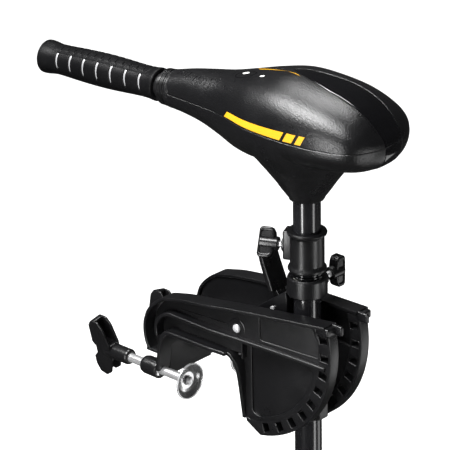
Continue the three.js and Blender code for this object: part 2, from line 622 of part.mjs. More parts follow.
add(steering, "head_upper_shell", upperShell(), BLACK_SATIN);
add(steering, "head_lower_shell", lowerShell(), BLACK_SATIN);
add(steering, "gloss_panel", glossPanel(), BLACK_GLOSS);
SCREW_SPOTS.forEach((spot, i) => {
  const head = -screwDepth(spot[0]);
  const screw = join(post(spot, 4.2, head + 1.4, head + 4.7), post(spot, 2.2, head + 4, 14));
  add(steering, `head_screw_${i + 1}`, screw, STEEL);
});
const cableGland = cut(
  join(post(GLAND_SPOT, 6, -38.5, -24), post(GLAND_SPOT, 8.5, -38.5, -34.4)),
  post(GLAND_SPOT, 3.4, -60, 0),
);
const tillerLine = [0, 0, SEAM_Z];
const tillerBushing = cut(
  join(bar("x", 17.8, [-167, -150.4], tillerLine, FINE), bar("x", 19.6, [-179, -166.3], tillerLine, FINE)),
  bar("x", TILLER_TUBE[1] + GAP, [-200, -100], tillerLine, FINE),
);
add(steering, "cable_gland", cableGland, RUBBER);
add(steering, "tiller_bushing", tillerBushing, BLACK_MATTE);

// ---------------------------------------------------------------- speed switch

const switchBody = cut(
  box([22, 58], [-20, 20], [SEAM_Z - 16, SEAM_Z + 16]),
  bar("x", ROTOR_RADIUS + 0.8, [10, 50], [0, 0, SEAM_Z], COARSE),
);
const rotor = cut(
  bar("x", ROTOR_RADIUS, [-156, 48], [0, 0, SEAM_Z], COARSE),
  bar("x", ROD_RADIUS + 0.3, [-160, 40], [0, 0, SEAM_Z], COARSE),
);
add(steering, "speed_switch", switchBody, WHITE_PLASTIC);
add(steering, "switch_rotor", rotor, WHITE_PLASTIC);
const CABLE_ROUTE = [[40, 0, SEAM_Z - 17], [39, 0, SEAM_Z - 22], [30, 0, 243], [14, 0, 240], [4, 0, 234],
  [0, 0, 222], [0, 0, 150], ORIGIN, [0, 0, -200], [0, 0, -400], [0, 0, MOTOR_Z + CAN_RADIUS + 2]];
add(steering, "motor_cable", swept(CABLE_ROUTE, 3, 20), RUBBER);

// ---------------------------------------------------------------- telescoping tiller and grip

add(steering, "tiller_tube", ring("x", TILLER_TUBE, [TILLER_END, -2], [0, 0, SEAM_Z], MEDIUM), STEEL);

function twistGrip() {
  const outline = [[0, GRIP_FROM], [15, GRIP_FROM], [18, GRIP_FROM + 2.5], [18.2, GRIP_FROM + 7],
    [16.4, GRIP_FROM + 12]];
  for (let i = 0; i < RIB_COUNT; i += 1) {
    const x = GRIP_FROM + 15 + i * RIB_PITCH;
    const crown = 16.6 + 1.8 * Math.sin((Math.PI * (i + 0.5)) / RIB_COUNT);
    outline.push([crown - 1.4, x], [crown, x + RIB_PITCH / 2]);
  }
  outline.push([16.2, GRIP_TO - 11], [17.6, GRIP_TO - 3], [17.4, GRIP_TO], [0, GRIP_TO]);
  const socket = bar("x", 4.8, [GRIP_FROM + 2.5, GRIP_FROM + 8], ORIGIN, COARSE);
  const bore = bar("x", GRIP_BORE, [TILLER_END - 0.5, 0], ORIGIN, MEDIUM);
  const body = cut(turned("x", outline, ORIGIN, MEDIUM), bore, socket);
  const key = box([GRIP_FROM + 22, GRIP_TO - 18], [-5, 5], [15.5, 18.6]);
  return join(body, key).translate([0, 0, SEAM_Z]);
}

add(steering, "twist_grip", twistGrip(), GRIP_BLACK);
add(steering, "drive_rod", bar("x", ROD_RADIUS, [GRIP_FROM + 3, 10], [0, 0, SEAM_Z], COARSE), STEEL);

// ---------------------------------------------------------------- submerged motor

const motorAxis = [0, 0, MOTOR_Z];

function motorCan() {
  const tower = turned("z", [[0, 30], [22, 30], [20, 44], [18, 58], [0, 58]], motorAxis, MEDIUM);
  return cut(
    join(bar("x", CAN_RADIUS, [-CAN_HALF, CAN_HALF], motorAxis, CAN_SIDES), tower),
    bar("x", CAN_RADIUS - CAN_WALL, [-CAN_HALF - 1, CAN_HALF + 1], motorAxis, CAN_SIDES),
    bar("z", SHAFT_RADIUS + GAP, [MOTOR_Z + CAN_RADIUS + 3.6, MOTOR_Z + 70], ORIGIN, FINE),
    bar("z", 4.2, [MOTOR_Z, MOTOR_Z + 60], ORIGIN, COARSE),
  );
}

// An end housing: a turned nose or tail with a spigot that enters the can.
function noseHousing() {
  const end = -CAN_HALF - NOSE_LENGTH;
  const joint = -CAN_HALF - GAP;
  const outer = [[0, end], [9, end + 2], [18, end + 9], [27, end + 22], [34, end + 40], [39.5, end + 62],
    [CAN_RADIUS, joint], [SPIGOT_RADIUS, joint], [SPIGOT_RADIUS, SPIGOT - CAN_HALF], [0, SPIGOT - CAN_HALF]];
  const room = [[0, end + 26], [20, end + 30], [29, end + 46], [35, -CAN_HALF - 5], [35, -CAN_HALF + 7],
    [0, -CAN_HALF + 7]];
  const seat = ring("x", [8.3, 12], [end + 20, -CAN_HALF - 34]);
  return join(cut(turned("x", outer, ORIGIN, FINE), turned("x", room, ORIGIN, FINE)), seat)
    .subtract(bar("x", 8.3, [end + 26, -CAN_HALF], ORIGIN, COARSE))
    .translate(motorAxis);
}

function tailHousing() {
  const end = CAN_HALF + TAIL_LENGTH;
  const joint = CAN_HALF + GAP;
  const outer = [[0, CAN_HALF - SPIGOT], [SPIGOT_RADIUS, CAN_HALF - SPIGOT], [SPIGOT_RADIUS, joint],
    [CAN_RADIUS, joint], [39, CAN_HALF + 16], [33, CAN_HALF + 32], [25, end], [0, end]];
  const room = [[0, CAN_HALF - 7], [34, CAN_HALF - 7], [34, CAN_HALF + 4], [24, CAN_HALF + 22],
    [0, CAN_HALF + 22]];
  const finOutline = [[-30, -41.6], [CAN_HALF + 20, -37], [CAN_HALF + 26, -60], [CAN_HALF + 4, -104],
    [-6, -100], [-20, -70]];
  const fin = plate(finOutline, [-3, 3]);
  const strap = ring("x", [CAN_RADIUS + GAP, CAN_RADIUS + 2.6], [-35, -25], ORIGIN, CAN_SIDES);
  const skeg = cut(fin, bar("x", CAN_RADIUS + GAP, [-40, CAN_HALF + GAP], ORIGIN, CAN_SIDES));
  return cut(
    join(cut(turned("x", outer, ORIGIN, FINE), turned("x", room, ORIGIN, MEDIUM)), skeg, strap),
    bar("x", AXLE_RADIUS + 0.3, [0, 200], ORIGIN, COARSE),
    bar("x", 9.3, [CAN_HALF + 14, CAN_HALF + 30], ORIGIN, MEDIUM),
    bar("x", 9.3, [end - 9, end + 5], ORIGIN, MEDIUM),
  ).translate(motorAxis);
}

function magnet(from) {
  const span = [-34, 34];
  const tube = ring("x", [33, 38.2], span, ORIGIN, FINE);
  const wedge = [[0, 0], ...arc(60, from, from + 130, 5)].map(([y, z]) => new THREE.Vector2(z, y));
  const keep = new THREE.ExtrudeGeometry(new THREE.Shape(wedge), { depth: 80, bevelEnabled: false });
  return tube.intersect(solid(keep.rotateY(Math.PI / 2).translate(-40, 0, 0))).translate(motorAxis);
}

function armatureCore() {
  const slots = Array.from({ length: 10 }, (_, i) =>
    box([-40, 40], [-2.2, 2.2], [20, 40]).rotate([36 * i, 0, 0]));
  const stack = join(bar("x", 31.5, [-30, 30], ORIGIN, FINE), bar("x", 24, [-38, 38], ORIGIN, MEDIUM));
  const bore = bar("x", AXLE_RADIUS + 0.2, [-60, 60], ORIGIN, COARSE);
  return cut(stack, ...slots, bore).translate(motorAxis);
}

const onAxis = (body) => body.translate(motorAxis);
add(steering, "motor_can", motorCan(), BLACK_SATIN);
add(steering, "nose_housing", noseHousing(), BLACK_SATIN);
add(steering, "tail_housing", tailHousing(), BLACK_SATIN);
add(steering, "magnet_top", magnet(-65), FERRITE);
add(steering, "magnet_bottom", magnet(115), FERRITE);
add(steering, "brush_plate", onAxis(ring("x", [17.5, 34], [-68, -64.5], ORIGIN, FINE)), WHITE_PLASTIC);
for (const [word, side] of SIDES) {
  const reach = side < 0 ? [-23, -12.4] : [12.4, 23];
  add(steering, `brush_${word}`, onAxis(box([-60, -53], reach, [-3.5, 3.5])), CARBON);
}
add(steering, "front_bearing", onAxis(ring("x", [AXLE_RADIUS + 0.2, 8], [-115, -107])), STEEL);
const rearBearing = ring("x", [AXLE_RADIUS + 0.2, 9], [CAN_HALF + 15, CAN_HALF + 23]);
add(steering, "rear_bearing", onAxis(rearBearing), STEEL);
const tailEnd = CAN_HALF + TAIL_LENGTH;
const shaftSeal = ring("x", [AXLE_RADIUS + 0.2, 9], [tailEnd - 8.5, tailEnd - 1]);
add(steering, "shaft_seal", onAxis(shaftSeal), RUBBER);

// ---------------------------------------------------------------- armature and propeller

const HUB_FROM = tailEnd + 2;

function axle() {
  const end = HUB_FROM + 52;
  const pinHole = bar("y", 2, [-10, 10], [HUB_FROM + 8, 0, 0], COARSE);
  return cut(bar("x", AXLE_RADIUS, [-116, end], ORIGIN, COARSE), pinHole).translate(motorAxis);
}

// A propeller blade: flat sections that twist and sweep back from root to tip.
function blade() {
  const rings = Array.from({ length: BLADE_SECTIONS }, (_, i) => {
    const t = i / (BLADE_SECTIONS - 1);
    const radius = 15 + t * (PROP_RADIUS - 15);
    const chord = 24 + 24 * Math.sin(Math.PI * Math.min(0.15 + 0.72 * t, 1)) - 12 * t ** 3;
    const pitch = degrees(62 - 38 * t);
    const sweep = 20 * t ** 2;
    const profile = [[-0.5, 0], [-0.2, 1], [0.2, 0.8], [0.5, 0], [0.2, -0.8], [-0.2, -1]];
    return profile.map(([along, thick]) => {
      const [u, v] = [along * chord - sweep * 0.5, thick * (2.4 - 1.3 * t)];
      return new THREE.Vector3(
        HUB_FROM + 22 + u * Math.sin(pitch) * 0.75 + v * Math.cos(pitch),
        u * Math.cos(pitch) - v * Math.sin(pitch) - sweep * 0.6,
        radius,
      );
    });
  });
  return loft(rings);
}

function propeller() {
  const profile = [[0, HUB_FROM], [21, HUB_FROM], [20, HUB_FROM + 14], [18, HUB_FROM + 30],
    [14, HUB_FROM + 42], [0, HUB_FROM + 42]];
  const hub = turned("x", profile, ORIGIN, MEDIUM);
  const blades = [blade(), blade().rotate([180, 0, 0])];
  return cut(
    join(hub, ...blades),
    bar("x", AXLE_RADIUS + 0.2, [HUB_FROM - 5, HUB_FROM + 60], ORIGIN, COARSE),
    bar("y", 2.3, [-13.5, 13.5], [HUB_FROM + 8, 0, 0], COARSE),
    box([HUB_FROM - 1, HUB_FROM + 8], [-13.5, 13.5], [-2.3, 2.3]),
  ).translate(motorAxis);
}

add(steering, "armature_shaft", axle(), STEEL);
add(steering, "armature_core", armatureCore(), COPPER);
add(steering, "commutator", onAxis(ring("x", [AXLE_RADIUS + 0.2, 12], [-64, -44])), COPPER);
add(steering, "drive_pin", onAxis(bar("y", 1.8, [-13, 13], [HUB_FROM + 8, 0, 0], COARSE)), STEEL);
add(steering, "propeller", propeller(), BLACK_SATIN);
const nutBlank = bar("x", 10.5, [HUB_FROM + 42.4, HUB_FROM + 51], ORIGIN, 6);
const nutBore = bar("x", AXLE_RADIUS + GAP, [HUB_FROM + 40, HUB_FROM + 60], ORIGIN, COARSE);
add(steering, "prop_nut", onAxis(cut(nutBlank, nutBore)), STEEL);

export default motor;
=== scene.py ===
"""Transom-mount trolling motor: detailed surfaces, materials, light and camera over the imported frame."""

import math

import bmesh
import bpy
import numpy as np
from mathutils import Matrix, Vector


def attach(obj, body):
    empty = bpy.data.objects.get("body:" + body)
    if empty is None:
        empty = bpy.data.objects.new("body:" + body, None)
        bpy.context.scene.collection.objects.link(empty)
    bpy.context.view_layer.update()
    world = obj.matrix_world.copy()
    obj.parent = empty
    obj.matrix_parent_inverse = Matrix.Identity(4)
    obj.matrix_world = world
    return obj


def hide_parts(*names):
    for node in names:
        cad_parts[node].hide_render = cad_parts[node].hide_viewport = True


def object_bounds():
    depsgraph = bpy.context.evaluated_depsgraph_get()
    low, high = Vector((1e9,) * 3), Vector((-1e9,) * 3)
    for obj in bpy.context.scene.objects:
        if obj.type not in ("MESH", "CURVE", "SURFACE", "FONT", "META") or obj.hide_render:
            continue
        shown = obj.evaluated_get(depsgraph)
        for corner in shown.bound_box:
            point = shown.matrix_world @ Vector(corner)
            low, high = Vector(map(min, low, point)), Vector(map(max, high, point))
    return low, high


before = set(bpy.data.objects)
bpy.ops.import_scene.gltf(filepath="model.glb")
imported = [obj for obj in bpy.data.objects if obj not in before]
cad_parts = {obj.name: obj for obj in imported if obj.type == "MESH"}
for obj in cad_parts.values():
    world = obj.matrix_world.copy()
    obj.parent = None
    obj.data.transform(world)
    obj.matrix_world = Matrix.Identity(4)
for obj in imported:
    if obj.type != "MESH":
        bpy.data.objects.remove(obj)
CAD_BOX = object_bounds()

# ------------------------------------------------------------------ dimensions, in millimetres

MM = 0.001
TURN = 2 * math.pi
SHAFT_X = 115.0
SHAFT_RADIUS = 14.3
STEER = math.radians(5)
SEAM_Z = 268.0
NECK_Z = 186.0
PIVOT = (50.5, 34.0)
CLAMP_Y, CLAMP_Z, CLAMP_BACK = 42.0, -47.0, 5.0
MOTOR_Z = -620.0
COLLAR_KNOB_Z = 132.0
SPOKE_ANGLE = math.radians(205)
SMOOTH = 96  # points round a visible turned piece

STEERED = Matrix.Translation((SHAFT_X, 0, 0)) @ Matrix.Rotation(STEER, 4, "Z")
HEAD = STEERED @ Matrix.Translation((0, 0, SEAM_Z))
MOTOR = STEERED @ Matrix.Translation((0, 0, MOTOR_Z))
ALONG_X = Matrix.Rotation(math.pi / 2, 4, "Y")
ALONG_Y = Matrix.Rotation(-math.pi / 2, 4, "X")


# ------------------------------------------------------------------ mesh helpers
# A shape is a pair: points as an (n, 3) array in millimetres, and faces as lists of indices.


def joined(*shapes):
    points, faces, start = [], [], 0
    for p, f in shapes:
        points.append(np.asarray(p, float))
        faces += [[i + start for i in face] for face in f]
        start += len(p)
    return np.vstack(points), faces


def moved(shape, matrix):
    p, f = shape
    m = np.array(matrix)
    return p @ m[:3, :3].T + m[:3, 3], f


def mirrored(shape):
    p, f = shape
    return p * (1, -1, 1), [face[::-1] for face in f]


def skin(rows, loop=True, caps=True):
    """Quads through rows of points that all have the same count."""
    rows = np.asarray(rows, float)
    n, m = rows.shape[:2]
    faces = []
    for r in range(n - 1):
        for i in range(m if loop else m - 1):
            a, b = r * m + i, r * m + (i + 1) % m
            faces.append([a, b, b + m, a + m])
    if caps and loop:
        faces.append(list(range(m))[::-1])
        faces.append([(n - 1) * m + i for i in range(m)])
    return rows.reshape(-1, 3), faces


def filleted(points, radius, closed=True, steps=5):
    """A 2-D outline with each corner rounded by up to the radius."""
    pts = [np.array(p[:2], float) for p in points]
    radii = [p[2] if len(p) > 2 else radius for p in points]
    out = []
    count = len(pts)
    for i, here in enumerate(pts):
        if not closed and i in (0, count - 1):
            out.append(here)
            continue
        before, after = pts[i - 1], pts[(i + 1) % count]
        a, b = before - here, after - here
        la, lb = np.linalg.norm(a), np.linalg.norm(b)
        turn = math.acos(max(-1, min(1, a.dot(b) / (la * lb))))
        if radii[i] < 0.01 or turn > 3.05:
            out.append(here)
            continue
        reach = min(radii[i] / math.tan(turn / 2), 0.49 * la, 0.49 * lb)
        start, end = here + a / la * reach, here + b / lb * reach
        for k in range(steps + 1):
            t = k / steps
            out.append((1 - t) ** 2 * start + 2 * t * (1 - t) * here + t * t * end)
    return np.array(out)


def smooth_path(points, per=8):
    """A Catmull-Rom curve through points of any dimension."""
    p = np.array(points, float)
    p = np.vstack([2 * p[0] - p[1], p, 2 * p[-1] - p[-2]])
    out = []
    for i in range(1, len(p) - 2):
        for k in range(per):
            t = k / per
            out.append(
                0.5 * (2 * p[i] + (p[i + 1] - p[i - 1]) * t
                       + (2 * p[i - 1] - 5 * p[i] + 4 * p[i + 1] - p[i + 2]) * t * t
                       + (3 * p[i] - p[i - 1] - 3 * p[i + 1] + p[i + 2]) * t ** 3))
    out.append(p[-2])
    return np.array(out)


def lathe(profile, radius=0.6, sides=SMOOTH):
    """A solid turned about Z: the profile holds (radius, height)."""
    angles = np.arange(sides) / sides * TURN
    rows = []
    for r, z in filleted(profile, radius, closed=False):
        reach = max(r, 1e-4)
        rows.append(np.stack([reach * np.cos(angles), reach * np.sin(angles), np.full(sides, z)], 1))
    return skin(rows)


def rim(profile, radius=0.5, sides=SMOOTH):
    """A closed ring turned about Z from a closed profile of (radius, height)."""
    outline = filleted(profile, radius)
    outline = np.vstack([outline, outline[:1]])
    angles = np.arange(sides) / sides * TURN
    rows = [np.stack([r * np.cos(angles), r * np.sin(angles), np.full(sides, z)], 1) for r, z in outline]
    return skin(rows, caps=False)


def cushion(outlines, thickness, bevel=0.8, steps=3):
    """A flat plate about Z = 0 with rounded edges: the first outline is its outside, the rest are holes."""
    curve = bpy.data.curves.new("outline", "CURVE")
    curve.dimensions = "2D"
    curve.fill_mode = "BOTH"
    curve.extrude = (thickness / 2 - bevel) * MM
    curve.bevel_depth = bevel * MM
    curve.bevel_resolution = steps
    curve.offset = -bevel * MM
    for outline in outlines:
        spline = curve.splines.new("POLY")
        spline.points.add(len(outline) - 1)
        for point, (x, y) in zip(spline.points, outline):
            point.co = (x * MM, y * MM, 0, 1)
        spline.use_cyclic_u = True
    holder = bpy.data.objects.new("outline", curve)
    bpy.context.scene.collection.objects.link(holder)
    mesh = bpy.data.meshes.new_from_object(holder.evaluated_get(bpy.context.evaluated_depsgraph_get()))
    points = np.empty(len(mesh.vertices) * 3)
    mesh.vertices.foreach_get("co", points)
    faces = [list(p.vertices) for p in mesh.polygons]
    bpy.data.objects.remove(holder)
    bpy.data.curves.remove(curve)
    bpy.data.meshes.remove(mesh)
    return points.reshape(-1, 3) / MM, faces


def side_plate(outlines, y0, y1, bevel=0.8, corner=2.0):
    """A plate from outlines in XZ, from y0 to y1."""
    rounded = [filleted(outline, corner) for outline in outlines]
    shape = cushion(rounded, y1 - y0, bevel)
    upright = Matrix.Translation((0, (y0 + y1) / 2, 0)) @ Matrix.Rotation(math.pi / 2, 4, "X")
    return moved(shape, upright)


def ribbon(path, thickness, across, corner=1.0, per=8, smooth=True):
    """A bar that follows a path in XZ; across(x, z) gives its inner and outer Y."""
    line = smooth_path(path, per) if smooth else np.array(path, float)
    rows = []
    for i, (x, z) in enumerate(line):
        tangent = line[min(i + 1, len(line) - 1)] - line[max(i - 1, 0)]
        normal = np.array([-tangent[1], tangent[0]]) / (np.linalg.norm(tangent) + 1e-9)
        inner, outer = across(x, z)
        half = thickness / 2
        section = filleted([(half, inner), (half, outer), (-half, outer), (-half, inner)], corner, steps=4)
        rows.append([[x + normal[0] * s, y, z + normal[1] * s] for s, y in section])
    return skin(rows)


def block(x, y, z, corner=1.0):
    """A box with rounded upright corners and rounded top and bottom edges."""
    outline = filleted([(x[0], y[0]), (x[1], y[0]), (x[1], y[1]), (x[0], y[1])], corner)
    shape = cushion([outline], z[1] - z[0], min(corner, (z[1] - z[0]) / 2 - 0.01))
    return moved(shape, Matrix.Translation((0, 0, (z[0] + z[1]) / 2)))


def turned_at(shape, axis, centre):
    """A shape made about Z, laid along an axis through a centre."""
    turn = {"x": ALONG_X, "y": ALONG_Y, "z": Matrix.Identity(4)}[axis]
    return moved(shape, Matrix.Translation(centre) @ turn)


def piece(name, shape, look, body, nodes, crease=38):
    """An object of the detailed model: it rides on a body and stands for CAD nodes."""
    points, faces = shape
    mesh = bpy.data.meshes.new(name)
    mesh.from_pydata((points * MM).tolist(), [], faces)
    mesh.validate()
    work = bmesh.new()
    work.from_mesh(mesh)
    bmesh.ops.remove_doubles(work, verts=work.verts, dist=2e-6)
    bmesh.ops.recalc_face_normals(work, faces=work.faces)
    work.to_mesh(mesh)
    work.free()
    mesh.polygons.foreach_set("use_smooth", [True] * len(mesh.polygons))
    mesh.set_sharp_from_angle(angle=math.radians(crease))
    mesh.materials.append(look)
    obj = bpy.data.objects.new(name, mesh)
    bpy.context.scene.collection.objects.link(obj)
    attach(obj, body)
    if nodes:
        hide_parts(*nodes)
    return obj


# ------------------------------------------------------------------ materials


def material(name, colour, roughness, metallic=0.0, coat=0.0, coat_roughness=0.1, grain=0.0,
             grain_size=2500.0,
             blotch=0.0, scratches=0.0, specular=0.5, streak=None):
    """A procedural surface: fine grain, slow change in colour and roughness, and light scratches."""
    mat = bpy.data.materials.new(name)
    mat.use_nodes = True
    nodes, links = mat.node_tree.nodes, mat.node_tree.links
    shader = nodes["Principled BSDF"]
    shader.inputs["Metallic"].default_value = metallic
    shader.inputs["Coat Weight"].default_value = coat
    shader.inputs["Coat Roughness"].default_value = coat_roughness
    shader.inputs["Specular IOR Level"].default_value = specular
    where = nodes.new("ShaderNodeTexCoord")
    place = where.outputs["Object"]
    if streak is not None:
        stretch = nodes.new("ShaderNodeMapping")
        stretch.inputs["Scale"].default_value = streak
        links.new(place, stretch.inputs["Vector"])
        place = stretch.outputs["Vector"]

    def noise(scale, detail, rough=0.5):
        node = nodes.new("ShaderNodeTexNoise")
        node.inputs["Scale"].default_value = scale
        node.inputs["Detail"].default_value = detail
        node.inputs["Roughness"].default_value = rough
        links.new(place, node.inputs["Vector"])
        return node.outputs["Fac"]

    def spread(source, low, high):
        node = nodes.new("ShaderNodeMapRange")
        node.inputs["From Min"].default_value = 0.3
        node.inputs["From Max"].default_value = 0.7
        node.inputs["To Min"].default_value = low
        node.inputs["To Max"].default_value = high
        links.new(source, node.inputs["Value"])
        return node.outputs["Result"]

    slow = noise(22.0, 4.0)
    tint = nodes.new("ShaderNodeMix")
    tint.data_type = "RGBA"
    tint.inputs["A"].default_value = (*colour, 1)
    tint.inputs["B"].default_value = (*[min(c * (1 + 0.5 * blotch) + 0.0015 * blotch, 1) for c in colour], 1)
    links.new(spread(slow, 0.0, 1.0), tint.inputs["Factor"])
    links.new(tint.outputs["Result"], shader.inputs["Base Color"])

    fine = noise(grain_size, 2.0, 0.6)
    rough = nodes.new("ShaderNodeMath")
    rough.operation = "ADD"
    links.new(spread(slow, roughness * (1 - 0.12), roughness * (1 + 0.12)), rough.inputs[0])
    links.new(spread(noise(160.0, 6.0, 0.7), -0.03 - scratches, 0.03 + scratches), rough.inputs[1])
    links.new(rough.outputs[0], shader.inputs["Roughness"])

    if grain > 0:
        bump = nodes.new("ShaderNodeBump")
        bump.inputs["Strength"].default_value = grain
        bump.inputs["Distance"].default_value = 0.0004
        links.new(fine, bump.inputs["Height"])
        links.new(bump.outputs["Normal"], shader.inputs["Normal"])
    return mat


BLACK = (0.003, 0.003, 0.0034)
SHELL = material("moulded_satin", BLACK, 0.31, grain=0.9, grain_size=650, blotch=0.2, specular=0.6)
BRACKET = material("moulded_bracket", (0.003, 0.003, 0.0034), 0.32, grain=0.3, grain_size=1300, blotch=0.3,
                   specular=0.6)
KNOB = material("moulded_knob", (0.0028, 0.0028, 0.0031), 0.3, grain=0.12, grain_size=1300, blotch=0.5)
GLOSS = material("gloss_panel", (0.0022, 0.0022, 0.0026), 0.1, coat=0.4, coat_roughness=0.04, grain=0.02,
                 grain_size=500, blotch=0.4, specular=0.35)
GRIP = material("grip_rubber", (0.0022, 0.0022, 0.0025), 0.42, grain=0.25, grain_size=1700, blotch=0.5,
                specular=0.12)
# light grey strips on the black grip's groove walls: painted highlight where the walls catch the light
GROOVE_HIGHLIGHT = material("grip_groove_highlight", (0.2, 0.2, 0.205), 0.3, grain=0.1, grain_size=1500, blotch=0.3)
COMPOSITE = material("composite_tube", (0.005, 0.005, 0.0058), 0.2, coat=0.4, coat_roughness=0.1, grain=0.03,
                     grain_size=700, blotch=0.8, streak=(1, 1, 0.05))
STEEL = material("plated_steel", (0.84, 0.84, 0.85), 0.28, metallic=0.72, grain=0.03, grain_size=900,
                 blotch=0.1,
                 scratches=0.03)
# the cup's dish steel is set darker than the bright bead on its rim, so the dish reads grey and the rim
# bright: painted shade in the dish
SHADED_DISH = material("pressed_steel_shaded", (0.7, 0.7, 0.71), 0.2, metallic=0.95, grain=0.03, grain_size=900, blotch=0.1,
                scratches=0.03)
BRIGHT = material("turned_steel", (0.86, 0.86, 0.87), 0.3, metallic=0.88, grain=0.06, grain_size=700,
                  blotch=0.1,
                  scratches=0.05, streak=(0.1, 1, 1))
PAINT = material("powder_coat", (0.006, 0.006, 0.0066), 0.34, grain=0.16, grain_size=900, blotch=0.5)
MARK_YELLOW = material("yellow_print", (0.5, 0.25, 0.003), 0.42, grain=0.06, grain_size=1500, blotch=0.1)
MARK_WHITE = material("white_print", (0.6, 0.6, 0.58), 0.4, grain=0.06, grain_size=1500, blotch=0.1)
COPPER = material("copper_winding", (0.55, 0.24, 0.11), 0.35, metallic=1, grain=0.5, grain_size=900,
                  blotch=0.6)
CERAMIC = material("magnet_ceramic", (0.03, 0.03, 0.032), 0.75, grain=0.4, grain_size=900, blotch=0.8)
ACETAL = material("white_acetal", (0.66, 0.65, 0.6), 0.42, grain=0.1, grain_size=1200, blotch=0.2)
RUBBER = material("soft_rubber", (0.008, 0.008, 0.008), 0.7, grain=0.3, grain_size=1400, blotch=0.6)
CARBON = material("brush_carbon", (0.02, 0.02, 0.021), 0.6, grain=0.5, grain_size=1500, blotch=0.6)

# ------------------------------------------------------------------ control head

SQUARENESS = 2.3
STATIONS = [
    (-166, 19.5, 20.5, 19.5), (-145, 22.5, 25.5, 21.5), (-120, 27, 29.8, 26), (-95, 31.5, 34, 35),
    (-70, 40, 40, 43), (-40, 52, 47.5, 44), (-10, 58.6, 52.9, 39), (20, 61.6, 51, 36.5), (50, 61.4, 45.5, 34),
    (75, 56.4, 36, 31), (90, 49, 25.5, 27), (100, 34, 14, 21), (105, 18, 7, 13), (106.3, 0.5, 0.5, 0.5),
]
PANEL = np.array([(-14, 1.2), (-5, 6), (13, 12), (43, 18), (67, 19), (90, 17), (108, 14)], float)
BODY = smooth_path(STATIONS, 22)
COLUMNS = 84


def head_size(x):
    """Half width, height above the seam and depth below it, at a place along the head."""
    return [np.interp(x, BODY[:, 0], BODY[:, k]) for k in (1, 2, 3)]


def over(x, y, lift=0.0):
    """The point of the upper shell above a place on its plan, raised by lift."""
    width, up, _ = head_size(x)
    height = up * max(1 - (abs(y) / width) ** SQUARENESS, 0) ** (1 / SQUARENESS)
    return x, y, height + lift


def beside(x, z, lift=0.0):
    """The point of the head's near side at a height, moved out by lift."""
    width, up, down = head_size(x)
    reach = up if z > 0 else down
    y = width * max(1 - (abs(z) / reach) ** SQUARENESS, 0) ** (1 / SQUARENESS)
    return x, -y - lift, z


def panel_half(x):
    return np.interp(x, PANEL[:, 0], PANEL[:, 1])


def seam_angle(width, y):
    """Section angle at which the section is y from the middle."""
    return math.acos(min((y / width) ** (SQUARENESS / 2), 1.0))


def section(width, height, angles):
    c, s = np.cos(angles), np.sin(angles)
    y = width * np.sign(c) * np.abs(c) ** (2 / SQUARENESS)
    z = height * np.abs(s) ** (2 / SQUARENESS)
    return y, z


def upper_side():
    """Half of the upper shell, from the seam to the middle or to the gloss panel."""
    rows = []
    for x, width, up, _ in BODY:
        open_to = seam_angle(width, panel_half(x) + 0.35) if x > PANEL[0, 0] - 0.4 else math.pi / 2
        y, z = section(width, up, np.linspace(0, 1, COLUMNS) ** 1.1 * open_to)
        row = [(x, a, b) for a, b in zip(y, z)]
        row = [(x, y[0] - 1.6, 0.25), (x, y[0] - 0.5, 0.2), (x, y[0] - 0.12, 0.5)] + row[2:]
        edge = np.array(row[-1])
        deep = (0.3, 1.8) if x > PANEL[0, 0] - 0.4 else (0, 0)
        row[-1] = tuple(edge - (0, 0, deep[0] * 0.4))
        row += [tuple(edge - (0, 0.25 if deep[1] else 0, deep[0] + 0.15)),
                tuple(edge - (0, 0.3 if deep[1] else 0, deep[1]))]
        rows.append(row)
    return skin(rows, loop=False, caps=False)


def panel_sheet():
    """The gloss panel, let into the upper shell and carried down the rear of the head."""
    rows = []
    xs = [x for x in BODY[:, 0] if PANEL[0, 0] < x]
    for x in xs:
        width = head_size(x)[0]
        half = min(panel_half(x) - 0.1, width * 0.999)
        fine = np.linspace(-1, 1, 41)
        row = []
        for s in fine:
            _, y, z = over(x, s * half)
            edge = max(abs(s) - 0.93, 0) / 0.07
            row.append((x, y, z - 0.12 - 0.5 * edge ** 2))
        row = [(x, -half - 0.02, row[0][2] - 1.6)] + row + [(x, half + 0.02, row[-1][2] - 1.6)]
        rows.append(row)
    first = [(px - 0.3, py, pz - 1.6) for px, py, pz in rows[0]]
    return skin([first] + rows, loop=False, caps=False)


def rear_sheet():
    """The gloss panel's lower part, on the rear of the lower shell."""
    rows = []
    for x in reversed([x for x in BODY[:, 0] if x > 78]):
        width, _, down = head_size(x)
        half = min(np.interp(x, (78, 100, 108), (9, 13.6, 13.9)), (width + 0.45) * 0.999)
        row = []
        for s in np.linspace(-1, 1, 31):
            y = s * half
            depth = down * max(1 - (abs(y) / (width + 0.45)) ** SQUARENESS, 0) ** (1 / SQUARENESS)
            edge = max(abs(s) - 0.9, 0) / 0.1
            row.append((x + 0.3 - 0.35 * edge ** 2, y, -depth - 0.35 + 0.5 * edge ** 2))
        rows.append(row)
    return skin(rows, loop=False, caps=False)


NECK = smooth_path([(0, NECK_Z), (17, NECK_Z), (18.2, 187.6), (21.5, 192), (26.5, 199), (32.5, 208),
                    (41, 219.5),
                    (50, 232), (58, 252), (64, 290)], 8)


def neck_height(r):
    """Underside of the neck at a distance from the shaft's axis."""
    outline = NECK[8:]
    return NECK_Z - SEAM_Z if r < 17 else np.interp(r, outline[:, 0], outline[:, 1]) - SEAM_Z


def blended(a, b, size):
    h = max(size - abs(a - b), 0) / size
    return min(a, b) - h * h * size / 4


